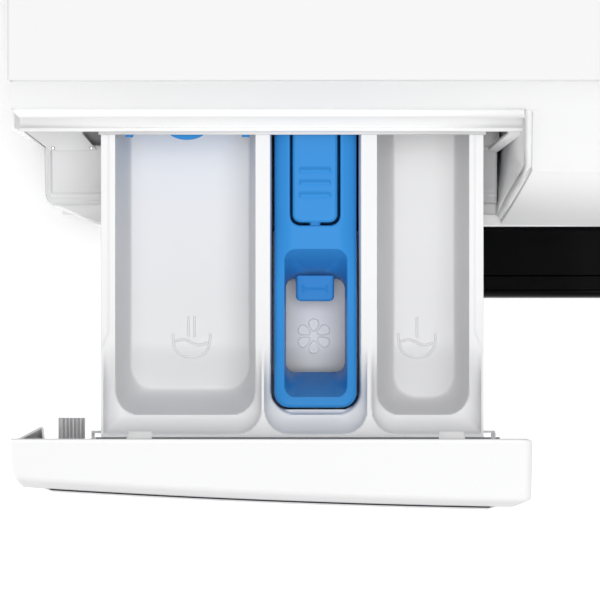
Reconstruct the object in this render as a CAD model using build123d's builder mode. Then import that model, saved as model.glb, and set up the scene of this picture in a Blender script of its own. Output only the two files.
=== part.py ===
from build123d import *
from math import cos, radians, sin, sqrt
import os

# Front load washing machine, 600 mm class, with its detergent drawer pulled out to its stop.
# Frame: +Z up, the front faces -Y, +X is the right side seen from the front.
# The origin is on the floor, below the middle of the box that holds the machine and the open drawer.

# Overall sizes, in millimetres
WIDTH = 598.0
HEIGHT = 848.0
BODY_DEPTH = 530.0          # worktop, back edge to front seam
OPEN_REACH = 178.95         # front of the open drawer, ahead of the seam
TOTAL_DEPTH = BODY_DEPTH + OPEN_REACH
SEAM_Y = -TOTAL_DEPTH / 2 + OPEN_REACH

# Front: heights of the fascia and how far its lines stand ahead of the seam
TOP_THICK = 22.0
SEAM_Z = HEIGHT - TOP_THICK
CREASE_Z = 761.0
CHIN_Z = 706.4
CREASE_G = 38.0
CHIN_G = 60.0
BOW = 10.5                  # how much the crease falls back at the ends
PANEL_G = 60.4

# Detergent drawer
TRAVEL = 136.5
DRAWER_L, DRAWER_R = -298.0, -81.5
DRAWER_TOP_Z = 803.5
DRAWER_BOTTOM_Z = 726.0
DRAWER_TOP_G = 13.15
GRIP_G = 5.4                # how far the grip edge stands ahead of the crease
FLANGE_G = 6.8              # tip of the left return flange, drawer closed
BAY_L, BAY_R = -285.0, -84.6
BAY_CEILING_Z = 770.8       # height that everything on the drawer passes under
FITTING_TOP_Z = 770.6
TRAY_L, TRAY_R = -261.0, -101.5
TRAY_TOP_Z = 770.0
TRAY_BOTTOM_Z = 711.0
TRAY_FRONT_G = 146.7
TRAY_LENGTH = 200.0
TRAY_BACK_G = TRAY_FRONT_G - TRAY_LENGTH
WELL_FRONT_G = 138.7
WELL_BACK_G = TRAY_BACK_G + 6.0
MAIN_WELL = (-254.8, -196.9)
SOFT_WELL = (-190.1, -152.4)
PRE_WELL = (-145.9, -107.6)
WELL_FLOOR_Z = 716.0

# Drum and tub
DRUM_Z = 440.0
TUB_R = 262.0
TUB_BACK_G, TUB_FRONT_G, TUB_SPLIT_G = -400.0, -12.0, -120.0
DRUM_R = 239.5
DRUM_BACK_G, DRUM_FRONT_G = -370.0, -30.0
MOUTH_R = 168.0
SHAFT_R = 15.0
RUN = 0.05                  # radial running clearance

# Door
DOOR_R = 232.0
DOOR_FRONT_G = 90.0
DOOR_BACK_G = 60.8
PANEL_HOLE_R = 178.0
HINGE_X, HINGE_G = -227.0, 78.0
LATCH_X, LATCH_G = 199.0, 67.0

# Cabinet
REAR_G = -512.0
SHEET = 1.5
FOOT_XG = [(-255.0, -480.0), (255.0, -480.0), (-255.0, 10.0), (255.0, 10.0)]
FILTER_X, FILTER_Z = 190.0, 66.0
TRANSIT_XZ = [(-180.0, 300.0), (180.0, 300.0), (-140.0, 630.0), (140.0, 630.0)]
INLET_X, INLET_Z = -160.0, 783.5
DRAIN_X, DRAIN_Z = 268.0, 700.0

DRUM_AXIS = Axis((0, 0, DRUM_Z), (0, 1, 0))
os.makedirs("parts", exist_ok=True)


def fwd(g):
    """World Y of a point g millimetres ahead of the worktop seam."""
    return SEAM_Y - g


def crease(x):
    """How far the fascia's crease stands ahead of the seam at x: a shallow parabola."""
    return CREASE_G - BOW * (x / 299.0) ** 2


def chin(x):
    """How far the fascia's lower edge stands ahead of the seam at x."""
    return CHIN_G - BOW * (x / 299.0) ** 2


def save(piece, name):
    """Labels a finished piece and writes its STEP file."""
    piece.part.label = name
    export_step(piece.part, f"parts/{name}.step")


def side_profile(points):
    """A face from (g, z) points, in the current side-view sketch (local x is Y)."""
    Polygon(*[(fwd(g), z) for g, z in points], align=None)


def plan_profile(points):
    """A face from (x, g) points, in the current plan sketch."""
    Polygon(*[(x, fwd(g)) for x, g in points], align=None)


def across(x0, x1, points, mode=Mode.ADD):
    """Extrudes a side-view outline of (g, z) points from x0 to x1 into the current part."""
    with BuildSketch(Plane.YZ.offset(x0)) as outline:
        side_profile(points)
    extrude(outline.sketch, amount=x1 - x0, mode=mode)


def block(x0, x1, g0, g1, z0, z1, mode=Mode.ADD):
    """A box from corner to corner in (x, g, z), put into the current part."""
    across(x0, x1, [(g0, z0), (g1, z0), (g1, z1), (g0, z1)], mode)


def turned(points, mode=Mode.ADD):
    """Revolves an outline of (g, radius) points about the drum axis into the current part."""
    with BuildSketch(Plane(origin=(0, 0, DRUM_Z), x_dir=(0, 1, 0), z_dir=(1, 0, 0))) as outline:
        side_profile(points)
    revolve(outline.sketch, axis=DRUM_AXIS, mode=mode)


def rod(x, z, radius, g0, g1, mode=Mode.ADD):
    """A round bar along Y from g0 to g1, put into the current part."""
    with BuildSketch(Plane.XZ.offset(-fwd(min(g0, g1)))) as section:
        with Locations((x, z)):
            Circle(radius)
    extrude(section.sketch, amount=abs(g1 - g0), mode=mode)


def post(x, g, radius, z0, z1, mode=Mode.ADD):
    """A round bar along Z from z0 to z1, put into the current part."""
    with BuildSketch(Plane.XY.offset(z0)) as section:
        with Locations((x, fwd(g))):
            Circle(radius)
    extrude(section.sketch, amount=z1 - z0, mode=mode)


def face_plane(x, share=0.5):
    """The fascia face's plane at x, share of the way from the seam down to the crease."""
    drop = SEAM_Z - CREASE_Z
    g = crease(x)
    length = sqrt(drop * drop + g * g)
    return Plane(
        origin=(x, fwd(g * share), SEAM_Z - drop * share),
        x_dir=(1, 0, 0),
        z_dir=(0, -drop / length, g / length),
    )


# ---------------------------------------------------------------- cabinet

def side_panels():
    """Two steel sides; the front edge steps back beside the drawer and fascia."""
    outline = [(-530, 20), (19.6, 20), (19.6, 703), (-2, 703), (-2, 812), (-5, 812), (-5, 822), (-31.5, 822),
               (-31.5, 825.7), (-530, 825.7)]
    with BuildPart() as left:
        across(-298.5, -298.5 + SHEET, outline)
        block(-298.5, -294.7, 18.1, 19.6, 90, 703)
        block(-298.5, -286.0, -530, -528.5, 20, 825.7)
    save(left, "side_panel_left")
    with BuildPart() as right:
        across(298.5 - SHEET, 298.5, outline)
        block(294.7, 298.5, 18.1, 19.6, 90, 703)
        block(286.0, 298.5, -530, -528.5, 20, 825.7)
    save(right, "side_panel_right")


def rear_panel():
    """Pressed steel back with a round service hole, bolt holes and connection holes."""
    with BuildPart() as panel:
        block(-296.7, 296.7, REAR_G, REAR_G + SHEET, 62.3, 825.4)
        rod(0, DRUM_Z, 150, REAR_G - 5, REAR_G + 5, Mode.SUBTRACT)
        for x, z in TRANSIT_XZ:
            rod(x, z, 9, REAR_G - 5, REAR_G + 5, Mode.SUBTRACT)
        rod(INLET_X, INLET_Z, 14, REAR_G - 5, REAR_G + 5, Mode.SUBTRACT)
        rod(DRAIN_X, DRAIN_Z, 12, REAR_G - 5, REAR_G + 5, Mode.SUBTRACT)
        rod(-240, 120, 8.3, REAR_G - 5, REAR_G + 5, Mode.SUBTRACT)
    save(panel, "rear_panel")
    with BuildPart() as cover:
        rod(0, DRUM_Z, 162, REAR_G - 1.8, REAR_G - 0.3)
        rod(0, DRUM_Z, 120, REAR_G - 4.5, REAR_G - 1.8)
        for k in range(6):
            angle = radians(60 * k + 30)
            rod(156 * cos(angle), DRUM_Z + 156 * sin(angle), 4, REAR_G - 4.4, REAR_G - 1.8)
    save(cover, "rear_cover")


def base_tray():
    """Moulded floor pan with an upstand all round and four bossed holes for the feet."""
    with BuildPart() as tray:
        block(-296.7, 296.7, -526, 17, 18, 62)
        block(-283.0, 283.0, 17, 48, 18, 62)
        block(-293.7, 293.7, -523, 14, 22, 70, Mode.SUBTRACT)
        block(-280.0, 280.0, 13, 45, 22, 70, Mode.SUBTRACT)
        block(145, 235, 40, 60, 24, 70, Mode.SUBTRACT)
        for x, g in FOOT_XG:
            post(x, g, 14, 21, 34)
            post(x, g, 5.4, 10, 40, Mode.SUBTRACT)
    save(tray, "base_tray")


def feet():
    """Four screw feet with rubber soles, and the nuts that lock them under the floor pan."""
    with BuildPart() as foot:
        for x, g in FOOT_XG:
            post(x, g, 20, 0, 4)
            post(x, g, 17, 4, 11.5)
            post(x, g, 5, 11.5, 42)
    save(foot, "feet")
    with BuildPart() as nuts:
        for x, g in FOOT_XG:
            with BuildSketch(Plane.XY.offset(12.0)):
                with Locations((x, fwd(g))):
                    RegularPolygon(9.8, 6)
                    Circle(5 + RUN, mode=Mode.SUBTRACT)
            extrude(amount=5.8)
    save(nuts, "foot_nuts")


def worktop():
    """Laminated board 22 mm thick whose front edge rolls down to the seam."""
    with BuildPart() as top:
        with BuildSketch(Plane.YZ.offset(-WIDTH / 2)):
            with BuildLine():
                Line((fwd(-530), SEAM_Z), (fwd(-530), HEIGHT))
                Line((fwd(-530), HEIGHT), (fwd(-12.5), HEIGHT))
                Spline(
                    (fwd(-12.5), HEIGHT),
                    (fwd(-3.2), HEIGHT - 6.5),
                    (fwd(0), SEAM_Z + 3),
                    tangents=[(-1, 0), (0, -1)],
                )
                Line((fwd(0), SEAM_Z + 3), (fwd(0), SEAM_Z))
                Line((fwd(0), SEAM_Z), (fwd(-530), SEAM_Z))
            make_face()
        extrude(amount=WIDTH)
    save(top, "worktop")


def front_panel():
    """Enamelled steel front: a deep pan with canted corners and the round door hole."""
    outer = [(-294.5, 19.9), (-285.1, 27.1), (-284.3, 47.1), (-282.2, 50.8), (-261, PANEL_G)]
    inner = [(-292.4, 19.9), (-283.6, 26.4), (-282.8, 46.6), (-281.0, 49.7), (-260.7, 58.9)]
    with BuildPart() as panel:
        with BuildSketch(Plane.XY.offset(90)):
            plan_profile(outer + [(-x, g) for x, g in reversed(outer)])
        extrude(amount=614)
        with BuildSketch(Plane.XY.offset(90)):
            plan_profile(inner + [(-x, g) for x, g in reversed(inner)])
        extrude(amount=614, mode=Mode.SUBTRACT)
        rod(0, DRUM_Z, PANEL_HOLE_R, 50, 70, Mode.SUBTRACT)
        block(190, 213, 50, 70, 426, 454, Mode.SUBTRACT)
    save(panel, "front_panel")


def plinth_panel():
    """Kick panel below the front, with the opening for the filter flap."""
    with BuildPart() as plinth:
        block(-284, 284, 48.4, 52.9, 16, 88)
        block(140, 240, 40, 60, 24, 82, Mode.SUBTRACT)
        block(-284, -281, 20, 48.4, 64, 88)
        block(281, 284, 20, 48.4, 64, 88)
    save(plinth, "plinth_panel")
    with BuildPart() as flap:
        block(140.5, 239.5, 49.9, 52.9, 29.4, 81.5)
        with BuildSketch(Plane.YZ.offset(140.5)):
            with Locations((fwd(51.4), 27.2)):
                Circle(1.5)
        extrude(amount=99)
        block(140.5, 239.5, 50.2, 52.6, 27.2, 29.6)
        block(182, 198, 47.4, 49.9, 72, 76)
    save(flap, "service_flap")


# ---------------------------------------------------------------- fascia

BUTTONS = {"power_button": -38.0, "option_button": 222.0, "start_button": 252.0}
KNOB_X = 8.0
DISPLAY_X = 125.0


def fascia_section(x):
    """The fascia's C-shaped section at x: top return, sloping face, chin and lower return."""
    c, b = crease(x), chin(x)
    return [
        (-30, 825.7),
        (0, 825.7),
        (c, CREASE_Z),
        (b, CHIN_Z),
        (b - 14, CHIN_Z),
        (b - 14, CHIN_Z + 3),
        (b - 4.4, CHIN_Z + 3),
        (c - 3.3, CREASE_Z),
        (-3.2, 822.7),
        (-30, 822.7),
    ]


def fascia():
    """Moulded control fascia, bowed in plan, with the drawer bay cut away at the left."""
    with BuildPart() as shell:
        for x in (-298.0, -149.0, 0.0, 149.0, 298.0):
            with BuildSketch(Plane.YZ.offset(x)):
                side_profile(fascia_section(x))
        loft()
        across(295.2, 298.0, [(-1.6, 825.7)] + fascia_section(298.0)[1:4] + [(-1.6, CHIN_Z)])
        with BuildSketch(Plane.XZ.offset(-fwd(-60))):
            Polygon((-310, 700), (-93.9, 700), (-93.8, CHIN_Z), (-81.2, CREASE_Z),
                    (-81.2, 803.8), (-83.4, 806), (-310, 806), align=None)
        extrude(amount=140, mode=Mode.SUBTRACT)
        with BuildSketch(Plane.XY.offset(700)):
            plan_profile([(298.1, 24.6), (294.7, 33), (289, 43), (282, 50.8), (262, 53.6), (262, 70),
                          (310, 70), (310, 24.6)])
        extrude(amount=140, mode=Mode.SUBTRACT)
        for x in BUTTONS.values():
            with BuildSketch(face_plane(x).offset(-12)):
                Circle(8.3)
            extrude(amount=20, mode=Mode.SUBTRACT)
        with BuildSketch(face_plane(KNOB_X).offset(-12)):
            Circle(4 + RUN)
        extrude(amount=20, mode=Mode.SUBTRACT)
        with BuildSketch(face_plane(DISPLAY_X).offset(-12)):
            RectangleRounded(131, 35, 5)
        extrude(amount=20, mode=Mode.SUBTRACT)
    save(shell, "fascia")


def controls():
    """Display window, program knob and push buttons, all set square to the sloping face."""
    with BuildPart() as window:
        with BuildSketch(face_plane(DISPLAY_X).offset(-3.0)):
            RectangleRounded(130.2, 34.2, 4.6)
        extrude(amount=3.0)
    save(window, "display_window")
    with BuildPart() as board:
        with BuildSketch(face_plane(100.0).offset(-23.0)):
            Rectangle(330, 44)
        extrude(amount=1.6)
    save(board, "control_board")
    with BuildPart() as knob:
        with BuildSketch(face_plane(KNOB_X).offset(0.9)):
            Circle(25)
        extrude(amount=16, taper=4)
        fillet(knob.edges().group_by(SortBy.LENGTH)[-1], 0.6)
        with BuildSketch(face_plane(KNOB_X).offset(-13.5)):
            Circle(4)
        extrude(amount=15)
    save(knob, "program_knob")
    for name, x in BUTTONS.items():
        with BuildPart() as button:
            with BuildSketch(face_plane(x).offset(-12.5)):
                Circle(8)
            extrude(amount=14.5)
        save(button, name)


# ---------------------------------------------------------------- drawer bay and dispenser

def recess_panel():
    """Liner of the drawer bay: overhanging ledge, back wall, floor and finger ramp."""
    liner = [
        (9.0, 798.0), (15.2, 788.0), (18.9, 778.0), (20.6, 772.0), (18.4, 771.0), (1.5, 771.0),
        (1.5, 733.0), (28.3, 727.0), (29.6, 722.0), (45.4, 711.0), (48.5, 708.4), (50.4, 707.8),
        (50.4, 706.0), (47.8, 706.2), (44.2, 709.0), (27.6, 720.4), (26.4, 725.2), (-0.7, 731.3),
        (-0.7, 773.2), (16.6, 773.2), (13.4, 787.2), (7.4, 798.0),
    ]
    with BuildPart() as panel:
        across(BAY_L, BAY_R, liner)
        block(-262.2, -100.3, -20, 60, 709.6, BAY_CEILING_Z, Mode.SUBTRACT)
        block(BAY_L - 1, BAY_L + 1.2, -20, 60, 731.8, 800, Mode.SUBTRACT)
        with BuildSketch(Plane.XZ.offset(-fwd(-5))):
            Polygon((-84.7, 773.4), (-96.3, 705), (-80, 705), (-80, 773.4), align=None)
        extrude(amount=70, mode=Mode.SUBTRACT)
        with BuildSketch(Plane.XZ.offset(-fwd(1.5))):
            with BuildLine():
                Polyline((-84.6, 772), (-82.4, 772), (-94.0, 708), (-96.2, 708), close=True)
            make_face()
        extrude(amount=25)
    save(panel, "recess_panel")


def dispenser():
    """Dispenser housing that the tray slides in, its water distributor, hoses and valve."""
    with BuildPart() as housing:
        block(-264.8, -97.7, -202, -1.0, 706.6, 773.6)
        block(-261.8, -100.7, -199, 0, 709.6, 770.6, Mode.SUBTRACT)
        post(-180, -180, 12, 700, 708)
        post(-180, -180, 9.5, 690, 712, Mode.SUBTRACT)
    save(housing, "dispenser_housing")
    with BuildPart() as top:
        block(-262, -100, -200, -40, 773.9, 792)
        block(-259, -103, -197, -43, 776, 790, Mode.SUBTRACT)
        rod(INLET_X, INLET_Z, 7.5, -198, -196.5, Mode.SUBTRACT)
        rod(INLET_X, INLET_Z, 6, -208, -199.5)
        rod(INLET_X, INLET_Z, 4.5, -209, -190, Mode.SUBTRACT)
    save(top, "water_distributor")
    with BuildPart() as valve:
        block(-182, -138, -509, -478, 764, 806)
        rod(INLET_X, INLET_Z, 13.22, -527, -509)
        rod(INLET_X, INLET_Z, 8.5, -528, -505, Mode.SUBTRACT)
        rod(INLET_X, INLET_Z, 6, -478, -468)
        rod(INLET_X, INLET_Z, 4.5, -505, -467, Mode.SUBTRACT)
    save(valve, "inlet_valve")
    with BuildPart() as hose:
        rod(INLET_X, INLET_Z, 9, -477.7, -200.3)
        rod(INLET_X, INLET_Z, 6.1, -478, -200, Mode.SUBTRACT)
    save(hose, "inlet_hose")
    with BuildPart() as bellows:
        post(-180, -180, 16, 655, 706.3)
        for z in (660, 670, 680, 690):
            post(-180, -180, 19, z, z + 4)
        post(-180, -180, 12.1, 650, 707, Mode.SUBTRACT)
    save(bellows, "fill_bellows")


# ---------------------------------------------------------------- drawer (drawn open)

def drawer_section(x):
    """The drawer front's section at x, closed position: top rim, crease and grip edge."""
    c = crease(x)
    return [
        (DRAWER_TOP_G, DRAWER_TOP_Z),
        (c, CREASE_Z),
        (c + GRIP_G, DRAWER_BOTTOM_Z),
        (c + GRIP_G - 3.0, DRAWER_BOTTOM_Z),
        (c - 3.2, CREASE_Z),
        (DRAWER_TOP_G - 3.1, DRAWER_TOP_Z),
    ]


def drawer_front():
    """Drawer front, a bowed shell that carries on the fascia's slope and crease."""
    with BuildPart() as front:
        for x in (-298.0, -226.0, -154.0, DRAWER_R):
            with BuildSketch(Plane.YZ.offset(x)):
                side_profile([(g + TRAVEL, z) for g, z in drawer_section(x)])
        loft()
        with BuildSketch(Plane.XY.offset(720)):
            plan_profile([(-299, TRAVEL + 24.3), (-297.6, TRAVEL + 24.3), (-294.7, TRAVEL + 29.3),
                          (-290.5, TRAVEL + 32.5), (-286.3, TRAVEL + 34.3), (-282.2, TRAVEL + 35.4),
                          (-282.2, TRAVEL + 50), (-299, TRAVEL + 50)])
        extrude(amount=90, mode=Mode.SUBTRACT)
        with BuildSketch(Plane.XZ.offset(-fwd(TRAVEL - 20))):
            with BuildLine():
                Polyline((DRAWER_R + 0.1, CREASE_Z), (-89.8, 725), (-70, 725), (-70, CREASE_Z), close=True)
            make_face()
        extrude(amount=90, mode=Mode.SUBTRACT)
        with BuildSketch(Plane.XY.offset(742)):
            plan_profile([(-297.0, TRAVEL + 14.0), (-285.3, TRAVEL + FLANGE_G),
                          (-284.2, TRAVEL + FLANGE_G + 1.6), (-284.1, TRAVEL + 16.0), (-294.0, TRAVEL + 16.0)])
        extrude(amount=44)
        across(-294, -284.2, [(TRAVEL + 14, 742), (TRAVEL + 14, 786), (TRAVEL + 17.5, 786),
                              (TRAVEL + 25.5, 764), (TRAVEL + 25.5, 742)])
    save(front, "drawer_front")


def drawer_tray():
    """Moulded tray with a main-wash well, a softener well and a prewash well."""
    with BuildPart() as tray:
        block(TRAY_L, TRAY_R, TRAY_BACK_G, TRAY_FRONT_G, TRAY_BOTTOM_Z, TRAY_TOP_Z)
        for x0, x1 in (MAIN_WELL, SOFT_WELL, PRE_WELL):
            with BuildSketch(Plane.XY.offset(TRAY_TOP_Z)):
                with Locations(((x0 + x1) / 2, fwd((WELL_FRONT_G + WELL_BACK_G) / 2))):
                    RectangleRounded(x1 - x0, WELL_FRONT_G - WELL_BACK_G, 8)
            extrude(amount=WELL_FLOOR_Z - TRAY_TOP_Z, taper=3, mode=Mode.SUBTRACT)
        for x0, x1 in ((-259.0, -256.0), (-106.5, -103.5)):
            block(x0, x1, TRAY_BACK_G + 4, TRAY_FRONT_G - 4, TRAY_BOTTOM_Z - 1, 764, Mode.SUBTRACT)
    save(tray, "drawer_tray")


def drawer_fittings():
    """Snap clips and brackets that join the tray to the front, and the ribbed guide block."""
    with BuildPart() as clips:
        for x0, x1 in ((-249.5, -239.8), (-120.1, -109.9)):
            across(x0, x1, [(146.9, 752), (156.5, 752), (156.5, 769.6), (149.6, FITTING_TOP_Z),
                            (145.6, FITTING_TOP_Z), (145.6, 770.05), (146.9, 770.05)])
    save(clips, "drawer_clips")
    with BuildPart() as brackets:
        for x0, x1 in ((-265.1, -261.2), (-101.3, -96.4)):
            block(x0, x1, 143.0, 157.5, 738, 766)
        block(-278.7, -267.9, 148.0, 157.0, 744, 770)
        for k in range(4):
            x = -278.7 + 2.93 * k
            block(x, x + 2.0, 140.0, 148.0, 744, 770)
    save(brackets, "drawer_brackets")


def drawer_inserts():
    """Blue softener insert with its siphon cover, and the liquid flap of the main well."""
    with BuildPart() as insert:
        with BuildSketch(Plane.XY.offset(768)):
            with Locations((-171.55, fwd((135.6 - 42) / 2))):
                RectangleRounded(34.1, 177.6, 6.2)
        extrude(amount=-42, taper=3)
        with BuildSketch(Plane.XY.offset(768)):
            with Locations((-171.3, fwd((131.3 + 69.7) / 2))):
                RectangleRounded(25.8, 61.6, 3.4)
        extrude(amount=-32, taper=2, mode=Mode.SUBTRACT)
        with BuildSketch(Plane.XY.offset(740)):
            with Locations((-171.8, fwd((121 + 81.9) / 2))):
                RectangleRounded(24.6, 39.1, 3.7)
        extrude(amount=-20, mode=Mode.SUBTRACT)
        with BuildSketch(Plane.XY.offset(768)):
            with Locations((-171.8, fwd(10.0))):
                RectangleRounded(20.9, 99.6, 3.5)
        extrude(amount=-24, mode=Mode.SUBTRACT)
    save(insert, "softener_insert")
    with BuildPart() as cover:
        with BuildSketch(Plane.XY.offset(746)):
            with Locations((-171.8, fwd(10.0))):
                RectangleRounded(18.5, 97.0, 3.4)
        extrude(amount=22.4)
        for g in (37.3, 42.5, 47.6):
            block(-178.2, -164.9, g - 0.6, g + 0.6, 768.4, 769.3)
    save(cover, "siphon_cover")
    with BuildPart() as flap:
        with BuildSketch(Plane.YZ.offset(-252.5)):
            with Locations((fwd(20.5), 765.5)):
                Circle(1.8)
        extrude(amount=53.4)
        block(-248.5, -203.3, 19.7, 21.3, 722, 765.5)
        block(-234.0, -217.0, 19.7, 24.2, 762.5, 765.5)
    save(flap, "liquid_flap")


# ---------------------------------------------------------------- door

def door_pocket():
    """Cuts the room for the hinge knuckles at the door's left rim into the current part."""
    block(-240, -217, 58, 85, 402, 478, Mode.SUBTRACT)
    block(-240, -226.5, 50, 95, 402, 478, Mode.SUBTRACT)


def door():
    """Round door: black bezel, inner frame, glass bowl, flat outer window and hinge leaf."""
    with BuildPart() as bezel:
        turned([(74, 150), (74, 231.6), (80.4, DOOR_R), (80.9, 231.3), (81.4, DOOR_R), (86.6, DOOR_R),
                (89.4, 230.4), (DOOR_FRONT_G, 228), (DOOR_FRONT_G, 170), (84, 150)])
        door_pocket()
    save(bezel, "door_bezel")
    with BuildPart() as frame:
        turned([(DOOR_BACK_G, 178), (DOOR_BACK_G, 229.5), (62.5, 231), (73.7, 231), (73.7, 178)])
        door_pocket()
        block(191, 211, 55, 73.8, 425, 455, Mode.SUBTRACT)
        with BuildSketch(Plane.XY.offset(424)):
            with Locations((LATCH_X, fwd(LATCH_G))):
                Circle(2.0)
        extrude(amount=32)
    save(frame, "door_frame")
    with BuildPart() as bowl:
        turned([(68, 177.7), (73.7, 177.7), (73.7, 150), (68, 150), (55, 148), (0, 136), (-30, 122),
                (-36, 100), (-38, 0), (-43, 0), (-41, 102), (-34, 127), (0, 141), (52, 153), (62, 158),
                (68, 160)])
    save(bowl, "door_glass")
    with BuildPart() as window:
        turned([(84.2, 0), (84.2, 149.7), (80.5, 149.7), (80.5, 0)])
    save(window, "door_window")
    with BuildPart() as leaf:
        post(HINGE_X, HINGE_G, 4, 416, 464)
        block(HINGE_X, -216.5, 75, 81, 416, 464)
        block(-217.0, -212.0, 62, 84.6, 402.5, 477.5, Mode.SUBTRACT)
        post(HINGE_X, HINGE_G, 2.5 + RUN, 410, 470, Mode.SUBTRACT)
    save(leaf, "hinge_leaf")
    with BuildPart() as bracket:
        for z in (405.0, 465.0):
            post(HINGE_X, HINGE_G, 4, z, z + 10)
            block(HINGE_X - 2, HINGE_X + 4, 60.6, HINGE_G, z, z + 10)
        block(-236, -190, 57.0, 58.7, 395, 485)
        post(HINGE_X, HINGE_G, 2.5, 406, 474)
    save(bracket, "hinge_bracket")
    with BuildPart() as hook:
        post(LATCH_X, LATCH_G, 4.5, 434, 446)
        block(LATCH_X - 3, LATCH_X + 3, 42, LATCH_G, 434, 446)
        block(LATCH_X, LATCH_X + 8, 42, 48, 434, 446)
        post(LATCH_X, LATCH_G, 2 + RUN, 430, 450, Mode.SUBTRACT)
    save(hook, "latch_hook")
    with BuildPart() as lock:
        block(191, 228, 27, 57.5, 418, 472)
        block(193, 212, 36, 60, 428, 452, Mode.SUBTRACT)
    save(lock, "door_lock")


# ---------------------------------------------------------------- tub, drum and drive

def tub():
    """Plastic tub in two shells, its front weight, gasket and heater."""
    with BuildPart() as rear:
        turned([(TUB_BACK_G, 31), (TUB_BACK_G, TUB_R), (TUB_SPLIT_G, TUB_R), (TUB_SPLIT_G, 257),
                (-392, 257), (-392, 42), (-384, 42), (-384, 31)])
        turned([(-430, 31), (-430, 42), (TUB_BACK_G, 42), (TUB_BACK_G, 31)])
        post(-180, -180, 12, 625, 690)
        turned([(-392, 0), (-392, 257), (TUB_SPLIT_G + 1, 257), (TUB_SPLIT_G + 1, 0)], Mode.SUBTRACT)
        post(-180, -180, 9, 600, 700, Mode.SUBTRACT)
    save(rear, "tub_rear")
    with BuildPart() as front:
        turned([(TUB_SPLIT_G + 0.3, 257), (TUB_SPLIT_G + 0.3, TUB_R), (TUB_FRONT_G, TUB_R),
                (TUB_FRONT_G, 187), (TUB_FRONT_G - 6, 187), (TUB_FRONT_G - 6, 257)])
    save(front, "tub_front")
    with BuildPart() as weight:
        turned([(-11.6, 195), (-11.6, 254), (18, 254), (24, 248), (24, 195)])
        block(-270, 270, -20, 30, 180, 440, Mode.SUBTRACT)
    save(weight, "counterweight")
    with BuildPart() as seal:
        turned([(-22, 176), (-22, 186.5), (-11.9, 186.5), (-11.9, 180), (14, 180), (22, 190), (30, 180),
                (53, 180), (53, 188), (58.6, 188), (58.6, 172), (50, 172), (46.5, 161), (44, 161.5),
                (44, 176), (30, 176), (22, 186), (14, 176)])
    save(seal, "door_gasket")
    with BuildPart() as heater:
        for x in (-14.0, 14.0):
            rod(x, DRUM_Z - 248, 3.5, -391.6, -160)
        block(-17.5, 17.5, -164, -157, DRUM_Z - 251.5, DRUM_Z - 244.5)
        block(-24, 24, -412, -400.3, DRUM_Z - 256, DRUM_Z - 236)
    save(heater, "heater")


def drum():
    """Steel drum with its back spider and shaft, three lifters and the outer rotor."""
    with BuildPart() as shell:
        turned([(DRUM_BACK_G, DRUM_R - 2), (DRUM_BACK_G, DRUM_R), (-40, DRUM_R), (DRUM_FRONT_G, 225),
                (-27, 172), (-30, MOUTH_R), (-32, 171), (-32.4, 224.4), (-41.5, DRUM_R - 2)])
    save(shell, "drum_shell")
    with BuildPart() as spider:
        turned([(DRUM_BACK_G - 0.1, 0), (DRUM_BACK_G - 0.1, DRUM_R), (DRUM_BACK_G - 3, DRUM_R),
                (DRUM_BACK_G - 6, 60), (-383, 40), (-383, SHAFT_R), (-456, SHAFT_R), (-456, 0)])
    save(spider, "drum_back")
    with BuildPart() as lifters:
        for k in range(3):
            heading = radians(120 * k)
            turn = Plane(origin=(0, fwd(-360), DRUM_Z), x_dir=(cos(heading), 0, sin(heading)),
                         z_dir=(0, -1, 0))
            with BuildSketch(turn):
                with BuildLine():
                    Polyline((-26, -235.5), (26, -235.5), (9, -192), (-9, -192), close=True)
                make_face()
            extrude(amount=300)
    save(lifters, "drum_lifters")
    with BuildPart() as rotor:
        turned([(-456, SHAFT_R), (-456, 124), (-408, 124), (-408, 118), (-450, 118), (-450, 30),
                (-444, 30), (-444, SHAFT_R)])
    save(rotor, "motor_rotor")
    with BuildPart() as stator:
        turned([(-440, 50), (-440, 112), (-404, 112), (-404, 43), (-420, 43), (-420, 50)])
    save(stator, "motor_stator")
    with BuildPart() as bearings:
        for g in (-428.0, -400.0):
            turned([(g, SHAFT_R + RUN), (g, 30.95), (g + 14, 30.95), (g + 14, SHAFT_R + RUN)])
    save(bearings, "drum_bearings")


def suspension():
    """Hanging springs, the two friction dampers and the four transit bolts."""
    with BuildPart() as springs:
        for x in (-235.0, 235.0):
            for z in range(590, 782, 8):
                post(x, -300, 12, z, z + 5)
            post(x, -300, 10, 590, 786)
            post(x, -300, 7, 580, 800, Mode.SUBTRACT)
            post(x, -300, 2.5, 574, 806)
    save(springs, "tub_springs")
    with BuildPart() as dampers:
        for x in (-150.0, 150.0):
            post(x, -210, 14, 24, 150)
            post(x, -210, 5, 150, 214)
    save(dampers, "tub_dampers")
    with BuildPart() as bolts:
        for x, z in TRANSIT_XZ:
            rod(x, z, 6, -516, -400.4)
            rod(x, z, 12, -523, -514)
    save(bolts, "transit_bolts")


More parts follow.
